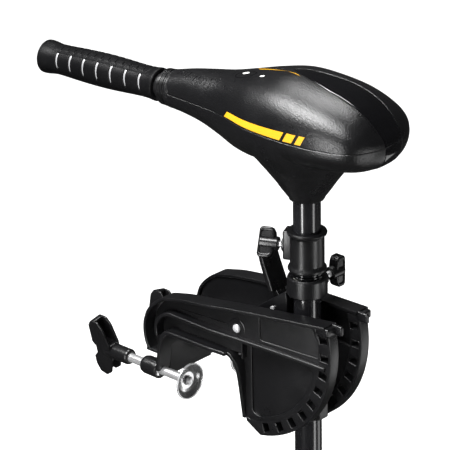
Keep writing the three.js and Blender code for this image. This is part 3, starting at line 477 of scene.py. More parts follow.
def lower_shell():
    """The lower half of the head, blended into its funnel-shaped neck."""
    stations = smooth_path(STATIONS, 30)
    rows = []
    for x, width, _, down in stations:
        angles = np.linspace(0, math.pi, 2 * COLUMNS + 1)
        y, z = section(width + 0.45, down, angles)
        row = []
        for a, b in zip(y, z):
            height = -b
            r = math.hypot(x, a)
            if r < 63:
                height = blended(height, neck_height(r), 9.0)
            row.append((x, a, height))
        lead = [(x, row[0][1] - 1.8, 0.05), (x, row[0][1] - 0.45, 0.12), (x, row[0][1] - 0.08, -0.2)]
        tail = [(x, row[-1][1] + 0.08, -0.2), (x, row[-1][1] + 0.45, 0.12), (x, row[-1][1] + 1.8, 0.05)]
        rows.append(lead + row[2:-2] + tail)
    return skin(rows, loop=False, caps=False)


def front_collar():
    """The rounded front lip of the head, where the tiller goes in."""
    return turned_at(rim([(15.2, -3), (19.9, -3), (20.6, -1.4), (20.3, 3.5), (15.2, 3.5)], 0.8), "x",
                     (-165.6, 0, 0))


def graduations():
    """Raised generic dashes in an arc on the tiller end of the head."""
    line = smooth_path([(-155, -6), (-140, -12), (-124, -17), (-106, -20), (-90, -16)], 3)
    marks = []
    for i, (x, y) in enumerate(line[:-1]):
        nx, ny = line[i + 1][0] - x, line[i + 1][1] - y
        across = np.array([-ny, nx]) / math.hypot(nx, ny)
        along = np.array([nx, ny]) / math.hypot(nx, ny)
        size = 2.6 if i % 3 else 4.2
        corners = []
        for s, t in ((-1, -1), (1, -1), (1, 1), (-1, 1)):
            p = np.array([x, y]) + across * s * size + along * t * 0.7
            corners.append(p)
        rows = []
        for lift, shrink in ((-0.6, 1.0), (0.45, 0.95), (0.62, 0.6)):
            middle = np.array([x, y])
            rows.append([over(*(middle + (c - middle) * shrink), lift) for c in corners])
        marks.append(skin(rows))
    return joined(*marks)


def side_patch(x0, x1, low, high, slant0, slant1, lift=0.16, count=40):
    """A thin printed patch on the near side of the head; its ends slant."""
    rows = []
    for i in range(count + 1):
        t = i / count
        column = []
        for k in range(9):
            v = k / 8
            z = (low[0] + (low[1] - low[0]) * t) * (1 - v) + (high[0] + (high[1] - high[0]) * t) * v
            x = x0 + (x1 - x0) * t + v * (slant0 * (1 - t) + slant1 * t)
            column.append(beside(x, z, lift))
        rows.append(column)
    return skin(rows, loop=False, caps=False)


def top_patch(corners, lift=0.16, count=24):
    """A thin printed patch on top of the head between two edges given as plan points."""
    (a0, a1), (b0, b1) = corners
    rows = []
    for i in range(count + 1):
        t = i / count
        start, end = np.array(a0) + (np.array(a1) - a0) * t, np.array(b0) + (np.array(b1) - b0) * t
        rows.append([over(*(start + (end - start) * v), lift) for v in np.linspace(0, 1, 5)])
    return skin(rows, loop=False, caps=False)


def disc_on_top(centre, radii, lift=0.2, inner=0.0):
    """A printed dot or ring on top of the head."""
    rows = []
    for share in np.linspace(inner, 1, 4):
        rows.append([over(centre[0] + radii[0] * share * math.cos(a),
                          centre[1] + radii[1] * share * math.sin(a), lift)
                     for a in np.arange(40) / 40 * TURN])
    return skin(rows, caps=False)


def make_head():
    """The control head: shells, gloss panel, markings and neck."""
    side = upper_side()
    piece("head_upper_surface", moved(joined(side, mirrored(side), front_collar()), HEAD), SHELL,
          "lower_unit",
          ["head_upper_shell"], 30)
    piece("head_panel_surface", moved(joined(panel_sheet(), rear_sheet()), HEAD), GLOSS, "lower_unit",
          ["gloss_panel"], 30)
    piece("head_lower_surface", moved(lower_shell(), HEAD), SHELL, "lower_unit", ["head_lower_shell"],
          30)
    piece("head_graduations", moved(graduations(), HEAD), SHELL, "lower_unit", [], 30)
    stripes = joined(
        side_patch(-74, 12, (1.6, 2.2), (8.0, 11.2), 5, 5),
        side_patch(16, 27, (2.2, 2.4), (11.3, 11.6), 5, 5, count=10),
        side_patch(31, 38, (2.4, 2.6), (11.7, 11.9), 5, 5, count=8),
    )
    piece("side_stripe", moved(stripes, HEAD), MARK_YELLOW, "lower_unit", [], 30)
    piece("top_stripe", moved(top_patch((((-62, 4), (2, -12.5)), ((-58, 0.5), (-2, -10.5)))), HEAD),
          MARK_YELLOW,
          "lower_unit", [], 30)
    piece("pointer_dot",
          moved(joined(disc_on_top((-68, -9), (4.2, 2.2)), disc_on_top((-40, -19), (3.0, 1.2))), HEAD),
          MARK_WHITE, "lower_unit", [], 30)
    piece("pointer_ring", moved(disc_on_top((-66, -12), (13, 6.5), 0.3, 0.93), HEAD), GLOSS, "lower_unit", [],
          30)
    bezel = [(13.4, -14.5), (18.6, -14.5), (19.4, -13.6), (19.4, -11.4), (18.4, -11), (18.4, -9.6),
             (19.6, -9.2),
             (19.8, -6.6), (18.6, -6.2), (18.6, -4.8), (19.9, -4.4), (20, -1), (13.4, -1)]
    piece("tiller_bezel", moved(turned_at(rim(bezel, 0.3), "x", (-165, 0, 0)), HEAD), KNOB, "lower_unit",
          ["tiller_bushing"], 30)


# ------------------------------------------------------------------ tiller and grip

GRIP_FROM, GRIP_TO = -345.0, -187.0
RIB_FIRST, RIB_PITCH, RIB_COUNT = -320.5, 18.9, 7
BAND_EDGE, GROOVE_END = math.radians(42), math.radians(112)
GROOVE_DEPTH = 1.3
BAND_FROM, BAND_TO = RIB_FIRST - 3, RIB_FIRST + 6.5 * RIB_PITCH
GRIP_LINE = np.array([(-345, 17.4), (-342, 18.1), (-336, 17.8), (-325, 16.4), (-312, 16.6), (-290, 17.6),
                      (-265, 18.2), (-245, 18.0), (-225, 17.2), (-208, 16.6), (-197, 16.9), (-190, 17.8),
                      (-187, 17.7)], float)


def twist_grip():
    """The ribbed grip: grooves on both sides below a band of low pads along the top."""
    line = smooth_path(GRIP_LINE, 6)
    xs = np.arange(GRIP_FROM, GRIP_TO + 0.01, 0.5)
    base = np.interp(xs, line[:, 0], line[:, 1])
    sides = 144
    angles = np.arange(sides) / sides * TURN - math.pi
    rows = [[(GRIP_FROM + 2.0, 12.4 * math.sin(a), 12.4 * math.cos(a)) for a in angles],
            [(GRIP_FROM + 0.3, 13.2 * math.sin(a), 13.2 * math.cos(a)) for a in angles],
            [(GRIP_FROM + 0.2, 16.0 * math.sin(a), 16.0 * math.cos(a)) for a in angles]]
    for x, radius in zip(xs[1:], base[1:]):
        row = []
        end_round = 1.2 * max(1 - (x - GRIP_FROM) / 2.0, 0) ** 2 + 0.7 * max(1 - (GRIP_TO - x) / 1.5, 0) ** 2
        for a in angles:
            r = radius - end_round - groove(x, abs(a))
            if BAND_FROM < x < BAND_TO and abs(a) < BAND_EDGE:
                r -= 0.5
                phase = ((x - RIB_FIRST + 4) % (RIB_PITCH / 2)) / (RIB_PITCH / 2)
                column = math.degrees(abs(a))
                if 0.15 < phase < 0.75 and 8 < column < 32:
                    r += 0.7
            row.append((x, r * math.sin(a), r * math.cos(a)))
        rows.append(row)
    rows += [[(GRIP_TO + 0.1, 13.6 * math.sin(a), 13.6 * math.cos(a)) for a in angles],
             [(GRIP_TO - 6, 13.4 * math.sin(a), 13.4 * math.cos(a)) for a in angles]]
    return skin(rows)


def groove_place(i, fall):
    """Front edge and width of groove i at a share of its way down the side."""
    return RIB_FIRST + i * RIB_PITCH + 4.5 * fall ** 1.6, 3.0 * (1 - fall) ** 0.7


def groove(x, turn):
    """Depth of the grooves at a place along the grip and an angle down from its top."""
    if not BAND_EDGE <= turn <= GROOVE_END:
        return 0.0
    fall = (turn - BAND_EDGE) / (GROOVE_END - BAND_EDGE)
    for i in range(RIB_COUNT):
        start, width = groove_place(i, fall)
        if start - 1 < x < start + width + 1:
            return GROOVE_DEPTH * min(1, (x - start + 1), (start + width + 1 - x)) * (1 - fall) ** 0.3
    return 0.0


def painted_groove_highlights():
    """Light grey strips in the grooves on both sides of the grip: a painted highlight where the groove walls
    catch the light.
    """
    line = smooth_path(GRIP_LINE, 6)
    strips = []
    for i in range(RIB_COUNT):
        rows = []
        for fall in np.linspace(0.03, 0.86, 24):
            turn = BAND_EDGE + fall * (GROOVE_END - BAND_EDGE)
            start, width = groove_place(i, fall)
            row = []
            for v in np.linspace(0.06, 0.94, 5):
                x = start + v * width
                r = np.interp(x, line[:, 0], line[:, 1]) - GROOVE_DEPTH * (1 - fall) ** 0.3
                r += 0.35 + 0.2 * math.sin(math.pi * v)
                row.append((x, -r * math.sin(turn), r * math.cos(turn)))
            rows.append(row)
        strips.append(skin(rows, loop=False, caps=False))
    near = joined(*strips)
    return joined(near, mirrored(near))


def make_tiller():
    """The grip with its painted highlight strips and end cap, and the tube that it slides on."""
    piece("grip_surface", moved(twist_grip(), HEAD), GRIP, "grip", ["twist_grip"], 50)
    # painted highlight: light grey strips laid in the grooves of the black rubber grip
    piece("grip_groove_highlight_strips", moved(painted_groove_highlights(), HEAD), GROOVE_HIGHLIGHT, "grip", [], 50)
    end_cap = lathe([(0, -1.6), (9.5, -1.4), (12.2, -0.2), (12.4, 2), (0, 2)], 0.8)
    piece("grip_end_cap", moved(turned_at(end_cap, "x", (GRIP_FROM + 1.8, 0, 0)), HEAD), KNOB, "grip", [],
          40)
    tube = rim([(10.6, -338), (13, -338), (13, -2), (10.6, -2)], 0.4)
    piece("tiller_tube_surface", moved(turned_at(tube, "x", (0, 0, 0)), HEAD), PAINT, "tiller",
          ["tiller_tube"],
          40)


# ------------------------------------------------------------------ shaft, collar and steering ring


def knob_shape(length, hub, reach, half=6.0):
    """A two-winged knob about +X whose hub starts at zero."""
    wing = [(hub, -7), (hub + 1.2, 4 - reach), (hub + 4, -reach), (length - 2, -reach), (length, 3 - reach),
            (length, reach - 3), (length - 2, reach), (hub + 4, reach), (hub + 1.2, reach - 4), (hub, 7)]
    dish = [(hub + 3.4, 4.5 - reach), (length - 2.6, 4.5 - reach), (length - 2.6, reach - 4.5),
            (hub + 3.4, reach - 4.5)]
    barrel = lathe([(0, 0), (7.2, 0), (7.2, length - 2), (5.5, length - 0.2), (0, length)], 0.9)
    return joined(
        side_plate([wing, dish], -half, half, 1.7, 3),
        side_plate([wing], 1.3 - half, half - 1.3, 1.2, 3),
        turned_at(barrel, "x", (0, 0, 0)),
    )


def make_shaft():
    """The shaft, depth collar, washer and their knobs."""
    tube = rim([(9.8, -574.6), (SHAFT_RADIUS, -574.6), (SHAFT_RADIUS, 226), (9.8, 226)], 0.5)
    piece("shaft_surface", moved(tube, STEERED), COMPOSITE, "lower_unit", ["shaft"], 30)

    collar = rim([(14.7, 107.7), (19.4, 107.7), (20.2, 108.6), (20.2, 110.4), (18.6, 112.8), (17.9, 114.4),
                  (17.9, 144.5), (18.3, 146), (20.4, 147.4), (20.9, 149.2), (20.0, 150.9), (14.7, 150.9)],
                  0.6)
    spoke = Matrix.Translation((SHAFT_X, 0, COLLAR_KNOB_Z)) @ Matrix.Rotation(SPOKE_ANGLE, 4, "Z")
    ear = moved(joined(
        block((13, 24), (-8.5, 8.5), (-14, 18), 2.2),
        turned_at(lathe([(0, 12), (7.6, 12), (7.6, 25), (6.6, 26), (0, 26)], 0.7), "x", (0, 0, 0)),
    ), spoke)
    piece("depth_collar_surface", joined(moved(collar, STEERED), ear), KNOB, "collar", ["depth_collar"],
          35)
    washer = rim([(14.8, 101.9), (17.2, 101.9), (17.8, 102.6), (17.8, 103.5), (16.3, 104.2), (16.3, 105.2),
                  (17.6, 105.8), (17.6, 106.6), (17, 107.1), (14.8, 107.1)], 0.4)
    piece("thrust_washer_surface", moved(washer, STEERED), GLOSS, "collar", ["thrust_washer"],
          35)
    lean = Matrix.Rotation(math.radians(30), 4, "X")
    knob = moved(knob_shape(21, 4, 16, 6), spoke @ Matrix.Translation((30, 0, 0)) @ lean)
    piece("collar_knob_surface", knob, KNOB, "collar_clamp", ["collar_knob"], 35)
    turn = Matrix.Translation((SHAFT_X, 34.5, 90)) @ Matrix.Rotation(math.pi / 2, 4, "Z")
    piece("tension_knob_surface", moved(knob_shape(19, 5, 17, 6), turn), KNOB, "tension", ["tension_knob"],
          35)


# ------------------------------------------------------------------ transom bracket

LOCK_RADIUS, RIM_INNER, RIM_OUTER = 113.0, 106.0, 122.0
WINDOW_FIRST, WINDOW_STEP, WINDOW_COUNT = 8.9, 10.3, 9
LEG_X, SLOPE_X, WEB_SLOPE = 57.0, 73.0, 0.09
FRONT_WEB = (33.5, 37.5)


def flange_outer(x):
    """Outer face of the side plate's flanges at a place along the bracket."""
    return 50.5 - 15.8 * min(max((x - 20) / 147, 0), 1)


def round_pivot(radius, start, end, count):
    angles = np.radians(np.linspace(start, end, count))
    return [(PIVOT[0] + radius * math.cos(a), PIVOT[1] + radius * math.sin(a)) for a in angles]


def windows(depth=(5.2, 4.0)):
    """Outlines of the lock windows in the toothed rim."""
    out = []
    for i in range(WINDOW_COUNT):
        a = math.radians(WINDOW_FIRST - WINDOW_STEP * i)
        c, s = math.cos(a), math.sin(a)
        corners = []
        for r, t in ((-depth[0], -depth[1]), (depth[0], -depth[1]), (depth[0], depth[1]),
                     (-depth[0], depth[1])):
            radius = LOCK_RADIUS + r
            corners.append((PIVOT[0] + radius * c - t * s, PIVOT[1] + radius * s + t * c, 0.6))
        out.append(corners)
    return out


TOP_LINE = [(-66.5, -23), (-71.5, -14), (-73.6, -3), (-73.4, 6), (-71.8, 13), (-67.5, 23), (-58.3, 33.3),
            (-46.5, 41.8), (-33, 45.6), (-15, 49.5), (15, 53.3), (60, 58.4), (120, 63.4), (167, 67)]
MID_LINE = [(-58.2, -4), (-58.8, 7), (-53, 18), (-42, 25), (-28, 25.8), (0, 25.3), (60, 24.3), (120, 22.4),
            (165, 20)]
MOUTH_LINE = [(-56.6, -45), (-53.4, -22), (-50, -7), (-46, 0.8), (-40, 4.2), (-32, 4.6), (0, 4.6),
              (30, 4.6), (41, 3.6),
              (48, -1), (51, -9), (52, -20), (52, -50), (52, -71.5)]


def leg_reach(z):
    """Outer face of the mouth's ledge, drawn in down the back leg."""
    return 44 - 12 * min(max(-z / 70, 0), 1) ** 0.8


def sloped(shape):
    """A piece of the upper web, drawn in from SLOPE_X aft along with the flanges."""
    p, f = shape
    lean = np.zeros_like(p)
    lean[:, 1] = -WEB_SLOPE * (p[:, 0] - SLOPE_X)
    return p + lean, f


def bracket_side():
    """One side plate: two webs, a toothed rim, three flanges, the clamp boss and the end horn."""
    front_web = [(-66, -42), (-70, -14), (-71.5, 5), (-66, 21, 14), (-57, 32, 14), (-46, 40, 14),
                 (-33, 44, 14), (-15, 48),
                 (15, 51.5), (SLOPE_X + 9, 58), (SLOPE_X + 9, 24), (LEG_X, 24), (LEG_X, 6), (-45, 6, 8),
                 (-53, -20),
                 (-56, -42)]
    upper_web = [(SLOPE_X + 8, 24, 0.2), (SLOPE_X + 8, 58, 0.2), (120, 62), (150, 62), (157, 46), (158, 22)]
    upper_frame = [(SLOPE_X + 8, 23), (SLOPE_X + 8, 59), (120, 63), (152, 63), (158, 46), (159, 21)]
    upper_dish = [(SLOPE_X + 10, 29.5, 3), (SLOPE_X + 8.6, 42, 9), (SLOPE_X + 9.6, 57, 3), (120, 60, 2),
                  (148, 61, 4),
                  (155.5, 45, 6), (156, 29.3, 3)]
    ring = round_pivot(RIM_OUTER, 15.5, -79, 60) + [(54, -75, 5), (54, -69)] + round_pivot(RIM_INNER, -85,
                                                                                           15.5, 60)
    border = round_pivot(RIM_INNER + 1, -6, -84, 40) + [(50, -69), (50, 24), (157, 22)]
    recess = [(63.5, 21, 1.5), (63.5, -62, 8)] + [(x, z, 0) for x, z in round_pivot(100.5, -77, -19, 30)] + \
             [(147, 11, 7), (122, 20, 3)]
    shapes = [
        side_plate([front_web], *FRONT_WEB, 0.8, 2),
        sloped(side_plate([upper_web], FRONT_WEB[0], FRONT_WEB[1] - 1.0, 0.3, 0.5)),
        sloped(side_plate([upper_frame, upper_dish], FRONT_WEB[0], FRONT_WEB[1] + 0.2, 0.7, 1.0)),
        side_plate([border], 24, 28, 0.6, 1.5),
        side_plate([border, recess], 24.2, 30, 0.9, 1.5),
        side_plate([ring, *windows()], 17.7, 30.2, 0.7, 1.0),
        ribbon(TOP_LINE, 3.4, lambda x, z: (flange_outer(x) - 19, flange_outer(x)), 0.9),
        ribbon(MID_LINE, 4.2, lambda x, z: (33.6 if x < LEG_X else 24.2, flange_outer(x) - 2), 1.3),
        ribbon([(-30, 31.5), (0, 33), (48, 35.5)], 1.0, lambda x, z: (37, 38.3), 0.3),
        ribbon(MOUTH_LINE, 4.6, lambda x,
               z: (33.6 if z > -1 else 19, min(flange_outer(x), leg_reach(z) if x > 40 else 50.8)),
               1.5),
        side_plate([[(LEG_X - 2, 0), (LEG_X, 0), (LEG_X, 24), (LEG_X - 2, 24)]], 24.5, 37, 0.6, 0.6),
        turned_at(lathe([(0, -83), (7.4, -82.8), (9.2, -81.4), (10.2, -78), (10.4, -58.4), (0, -58.4)],
                        1.2), "x",
                  (0, CLAMP_Y, CLAMP_Z)),
        block((-68.5, -57), (33.6, 48), (-56.5, -36.5), 2.5),
        block((-71.5, -53), (33.6, 50.3), (-24.3, -20.7), 1.0),
        turned_at(lathe([(0, 30.6), (11, 30.6), (11, 37.7), (10.4, 38), (6, 38), (5.6, 37.4), (0, 37.4)],
                        0.4), "y",
                  (PIVOT[0], 0, PIVOT[1])),
        block((155, 172), (18, 34.2), (58, 67.2), 2.0),
        block((165, 179.8), (17.7, 22.3), (57.7, 68.8), 2.0),
    ]
    return joined(*shapes)


def saddle_shape():
    wall = [(-51, 8), (-48, 0), (-55, -56), (-63, -56, 3), (-58.5, 0), (-56.5, 8)]
    return joined(
        side_plate([wall], -33, 33, 0.8, 0.8),
        block((-56, 44.6), (-33, 33), (0.02, 7.9), 1.0),
        block((44, 50.4), (-17, 17), (-83.8, 7.9), 1.0),
    )


def make_bracket():
    """Both side plates, the saddle and the tilt pin."""
    side = bracket_side()
    piece("bracket_port", mirrored(side), BRACKET, "bracket", ["bracket_side_left"], 32)
    piece("bracket_starboard", side, BRACKET, "bracket", ["bracket_side_right"], 32)
    piece("saddle_surface", saddle_shape(), BRACKET, "bracket", ["bracket_saddle"], 32)
    pin = lathe([(0, -41.1), (1.2, -41.05), (2.6, -40.7), (3.9, -40), (4.7, -39), (4.9, -38.2), (4.4, -38),
                 (4.4, 40.8),
                 (0, 40.9)], 0.8)
    piece("hinge_pin_surface", turned_at(pin, "y", (PIVOT[0], 0, PIVOT[1])), STEEL, "bracket", ["hinge_pin"],
          40)


# ------------------------------------------------------------------ clamps


def clamp_cup_shape():
    """The dished pad that bears on the transom."""
    outer = [(3.6, -19.4), (6.6, -19.4), (7.6, -18.6), (8.2, -15.9), (13, -15.1), (17.2, -13.7),
             (20.1, -11.2),
             (20.4, -10.2), (20.2, -9.5), (19.2, -9.5), (18.6, -10.6), (16.4, -12.2), (13, -13.4),
             (9.4, -14.1),
             (5.4, -14.2), (4.6, -13.6), (3.6, -13.5)]
    return rim(outer, 0.3)


KNOB_WING = [(-150, -20, 3), (-150, -10, 2), (-144.5, -4, 2), (-144, 4, 2), (-149.4, 9, 2), (-149.8, 31, 4),
             (-145.5, 37.6, 4), (-134.5, 37.6, 4), (-128.5, 30, 5), (-122.5, 10, 4), (-122.5, -9, 4),
             (-128, -26, 5),
             (-136, -31.6, 4), (-145.5, -29.6, 4)]


def clamp_knob_shape():
    """A winged knob, hollow towards the screw: two cheeks, a back wall, a cross web and a hub."""
    back = [(-150, -20, 3), (-150, -10, 2), (-144.5, -4, 2), (-144, 4, 2), (-149.4, 9, 2), (-149.8, 31, 4),
            (-145.5, 37.6, 4), (-139, 37.6, 2), (-140.5, 32, 2), (-140, -27, 2), (-139, -31.6, 2),
            (-145.5, -29.6, 4)]
    web = [(-146, -10), (-122.8, -9.5), (-122.8, 9.5), (-146, 9.5)]
    hub = lathe([(0, -133), (8.6, -133), (8.8, -126), (8.8, -101.2), (8.2, -99.6), (6.6, -99.1),
                 (0, -99.1)], 0.7)
    return joined(
        side_plate([KNOB_WING], -8, -5.4, 1.1, 3),
        side_plate([KNOB_WING], 5.4, 8, 1.1, 3),
        side_plate([back], -6.6, 6.6, 0.5, 2),
        side_plate([web], -6.6, 6.6, 0.5, 1),
        turned_at(hub, "x", (0, 0, 0)),
    )


def make_clamps():
    """Both clamps: screw, pad with its bead, and winged knob."""
    screw = lathe([(0, -122.8), (5, -122.8), (5, -21), (3.4, -20), (3.4, -12.8), (4.6, -12.4), (4.8, -11.2),
                   (3.6, -9.9), (0, -9.2)], 0.4)
    bead = rim([(18.9, -11), (20.2, -11.4), (20.48, -10.6), (20.4, -9.6), (20, -9.42), (19.2, -9.42),
                (18.8, -9.9)], 0.25)
    for word, side in (("left", -1), ("right", 1)):
        centre = (-CLAMP_BACK, side * CLAMP_Y, CLAMP_Z)
        lean = Matrix.Translation(centre) @ Matrix.Rotation(math.radians(side * -12), 4, "X")
        piece(f"clamp_rod_{word}", turned_at(screw, "x", centre), BRIGHT, f"screw_{word}",
              [f"clamp_screw_{word}"],
              40)
        # the dish uses a darker copy of the rim's steel: painted shade
        piece(f"clamp_pad_{word}", turned_at(clamp_cup_shape(), "x", centre), SHADED_DISH, f"cup_{word}",
              [f"clamp_cup_{word}"], 40)
        piece(f"clamp_pad_rim_{word}", turned_at(bead, "x", centre), BRIGHT, f"cup_{word}", [],
              40)
        piece(f"clamp_handle_{word}", moved(clamp_knob_shape(), lean), KNOB, f"screw_{word}",
              [f"clamp_knob_{word}"], 35)


# ------------------------------------------------------------------ steering arm and release lever


def arm_shape():
    cheek = [(40, 26, 4), (39, 36, 4), (44, 45, 4), (52, 49, 3), (97, 81.5, 1), (98.3, 70, 1), (98.3, -71),
             (92, -85.6, 3),
             (77, -85.6, 3), (71, -58, 3), (66, -20, 5), (60, 14, 5), (52, 21, 4)]
    slot = []
    lock = math.radians(WINDOW_FIRST - WINDOW_STEP * (WINDOW_COUNT - 1))
    for r, t in ((99, -3.1), (117.5, -3.1), (117.5, 3.1), (99, 3.1)):
        slot.append((PIVOT[0] + r * math.cos(lock) - t * math.sin(lock),
                     PIVOT[1] + r * math.sin(lock) + t * math.cos(lock), 1.2))
    back = [(93, -85), (98.2, -71), (98.2, 80), (93, 72)]
    ring = rim([(17.4, 80.2), (19.8, 80.2), (21, 81.6), (21, 98.6), (20, 100.8), (18.8, 101), (17.6, 100.6),
                (16.6, 99.4), (14.9, 99.2), (14.9, 80.2)], 0.6)
    yoke_outline = filleted([(92, -16.6), (120, -16.6), (131, -13), (137, -6), (137, 6), (131, 13),
                             (120, 16.6), (92, 16.6)], 4)
    bore = [(SHAFT_X + 14.9 * math.cos(a), 14.9 * math.sin(a)) for a in np.arange(64) / 64 * TURN]
    yoke = moved(cushion([yoke_outline, bore], 20, 1.2), Matrix.Translation((0, 0, -47)))
    shapes = [
        side_plate([cheek, slot], 7.6, 13.4, 1.0, 2),
        mirrored(side_plate([cheek, slot], 7.6, 13.4, 1.0, 2)),
        side_plate([back], -8, 8, 0.4, 0.4),
        moved(ring, Matrix.Translation((SHAFT_X, 0, 0))),
        yoke,
        turned_at(rim([(4.8, -29.8), (8.4, -29.8), (8.4, 29.8), (4.8, 29.8)], 0.6), "y",
                  (PIVOT[0], 0, PIVOT[1])),
        turned_at(rim([(4.5, 15), (8.4, 15), (8.4, 24.8), (4.5, 24.8)], 0.8), "y", (SHAFT_X, 0, 90)),
    ]
    return joined(*shapes)


def lever_shape():
    spine = [(76, 50, 1), (84, 52, 3), (86, 58, 3), (84, 66, 3), (79, 74, 3), (75, 84, 3), (68, 100, 4),
             (63.5, 111.6, 2.5),
             (57.5, 111.6, 2), (61, 100, 4), (68, 82, 4), (73, 66, 4), (72, 56, 3), (63.3, 42, 1.5),
             (66, 38.8, 1.5), (76, 47, 1)]
    paddle = [(78.6, 74.3, 2), (75, 84, 3), (68, 100, 4), (63.5, 111.6, 2.5), (57.5, 111.6, 2), (61, 100, 4),
              (68.3, 82, 2), (73.2, 72.4, 1)]
    return joined(side_plate([spine], -6.6, 6.6, 1.2, 2), side_plate([paddle], -12.8, 12.8, 1.4, 2))


def make_arm():
    """The tilting arm, the release lever and the steering ring."""
    piece("arm_surface", arm_shape(), BRACKET, "arm", ["steering_arm"], 32)
    piece("lever_surface", lever_shape(), KNOB, "lever", ["release_lever"], 35)


# ------------------------------------------------------------------ submerged motor and propeller

HUB_X = 118.0


def make_motor():
    """The submerged motor housing."""
    can = rim([(38.6, -69.8), (40.4, -69.8), (41, -69), (41, -66.5), (40.6, -66), (40.6, 66), (41, 66.5),
               (41, 69),
               (40.4, 69.8), (38.6, 69.8)], 0.4, 128)
    tower_line = [(14.7, 38), (26, 37.2), (23.4, 40.5), (21.2, 46), (19.4, 53), (18.6, 57), (17.6, 57.9),
                  (14.7, 57.9)]
    tower = rim(tower_line, 1.4)
    piece("motor_can_surface", moved(joined(turned_at(can, "x", (0, 0, 0)), tower), MOTOR), PAINT,
          "lower_unit",
          ["motor_can"], 35)
    nose_line = smooth_path([(0.01, -152), (9, -150), (18, -143), (27, -130), (34, -112), (39.5, -90),
                             (41, -74)], 8)
    nose = [tuple(p) for p in nose_line] + [(41, -70.9), (40.4, -70.4), (38, -70.4), (38, -64.2), (30, -64.2)]
    piece("nose_surface", moved(turned_at(lathe(nose, 0.15, 128), "x", (0, 0, 0)), MOTOR), PAINT,
          "lower_unit",
          ["nose_housing"], 35)
    tail = [(9.5, 64.2), (38, 64.2), (38, 70.4), (40.4, 70.4), (41, 70.9)]
    tail += [tuple(p) for p in smooth_path([(41, 74), (39.6, 86), (36.5, 97), (31.5, 107), (25.5, 115)], 8)]
    tail += [(24.6, 115.8), (9.5, 115.8)]
    fin_line = [(-30, -41.4, 0), (90, -37, 0), (96, -60, 6), (74, -103.6, 7), (-6, -99.6, 8), (-21, -70, 8)]
    fin = side_plate([fin_line], -2.9, 2.9, 1.6, 3)
    strap = turned_at(rim([(41.2, -34.6), (43.4, -34.6), (43.4, -25.4), (41.2, -25.4)], 0.6, 128), "x",
                      (0, 0, 0))
    tail_part = joined(turned_at(rim(tail, 0.15, 128), "x", (0, 0, 0)), fin, strap)
    piece("tail_surface", moved(tail_part, MOTOR), PAINT, "lower_unit", ["tail_housing"], 35)


def blade_shape():
    rows = []
    for i in range(40):
        t = i / 39
        radius = 15 + t * 98.5
        chord = (24 + 24 * math.sin(math.pi * min(0.15 + 0.72 * t, 1)) - 12 * t ** 3)
        chord *= math.sqrt(max(1 - max((t - 0.86) / 0.14, 0) ** 2, 0.004))
        pitch = math.radians(62 - 38 * t)
        sweep = 20 * t ** 2
        thick = 2.3 - 1.4 * t
        row = []
        for k in range(28):
            a = k / 28 * TURN
            along, through = 0.5 * math.cos(a), thick * math.sin(a) * (0.75 + 0.25 * math.cos(a))
            u = along * chord - sweep * 0.5
            row.append((HUB_X + 22 + u * math.sin(pitch) * 0.75 + through * math.cos(pitch),
                        u * math.cos(pitch) - through * math.sin(pitch) - sweep * 0.6, radius))
        rows.append(row)
    return skin(rows)


def make_propeller():
    """Blades, hub and nut."""
    hub = lathe([(0, HUB_X + 0.2), (20.4, HUB_X + 0.2), (21, HUB_X + 1), (20.4, HUB_X + 14),
                 (18.2, HUB_X + 30),
                 (15, HUB_X + 41), (13.8, HUB_X + 41.9), (0, HUB_X + 41.9)], 0.8)
    blade = blade_shape()
    shape = joined(turned_at(hub, "x", (0, 0, 0)), blade, moved(blade, Matrix.Rotation(math.pi, 4, "X")))
    piece("propeller_surface", moved(shape, MOTOR), SHELL, "prop", ["propeller"], 40)
    nut = cushion([filleted([(10.3 * math.cos(a), 10.3 * math.sin(a)) for a in np.arange(6) / 6 * TURN],
                            0.8)], 8.5, 0.8)
    nut = moved(nut, Matrix.Translation((HUB_X + 46.7, 0, 0)) @ ALONG_X)
    piece("prop_nut_surface", moved(nut, MOTOR), STEEL, "prop", ["prop_nut"], 40)


# ------------------------------------------------------------------ carried-over nodes

CARRIED = {
    STEEL: "hinge_pin_clip clamp_nut_left clamp_nut_right lever_pin lock_bar pull_link tension_screw "
           "collar_screw head_screw_1 head_screw_2 head_screw_3 drive_rod front_bearing rear_bearing "
           "armature_shaft drive_pin",
    ACETAL: "steering_bushing friction_shoe speed_switch switch_rotor brush_plate",
    RUBBER: "cable_gland motor_cable shaft_seal",
    COPPER: "armature_core commutator",
    CERAMIC: "magnet_top magnet_bottom",
    CARBON: "brush_left brush_right",
}


def finish_carried():
    for look, names in CARRIED.items():
        for name in names.split():
            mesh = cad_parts[name].data
            mesh.materials.clear()
            mesh.materials.append(look)


# ------------------------------------------------------------------ floor, light and camera


ROOM_LIGHT, ROOM_REFLECTION = 0.3, 0.035


def make_stage():
    """A pale floor that reflections leave out, and a room that they see only dimly."""
    floor = bpy.data.meshes.new("floor")
    low = CAD_BOX[0][2] - 0.002
    size = 14.0
    floor.from_pydata([(-size, -size, low), (size, -size, low), (size, size, low), (-size, size, low)], [],
                      [(0, 1, 2, 3)])
    pale = material("pale_floor", (0.9, 0.9, 0.9), 0.8, grain=0.02, grain_size=40, blotch=0.02, specular=0.2)
    floor.materials.append(pale)
    ground = bpy.data.objects.new("floor", floor)
    ground.visible_glossy = False
    bpy.context.scene.collection.objects.link(ground)

    world = bpy.data.worlds.new("studio")
    bpy.context.scene.world = world
    world.use_nodes = True
    nodes, links = world.node_tree.nodes, world.node_tree.links
    nodes["Background"].inputs["Color"].default_value = (1, 1, 1, 1)
    path = nodes.new("ShaderNodeLightPath")
    strength = nodes.new("ShaderNodeMix")
    strength.inputs["A"].default_value = ROOM_LIGHT
    strength.inputs["B"].default_value = ROOM_REFLECTION
    links.new(path.outputs["Is Glossy Ray"], strength.inputs["Factor"])
    links.new(strength.outputs["Result"], nodes["Background"].inputs["Strength"])


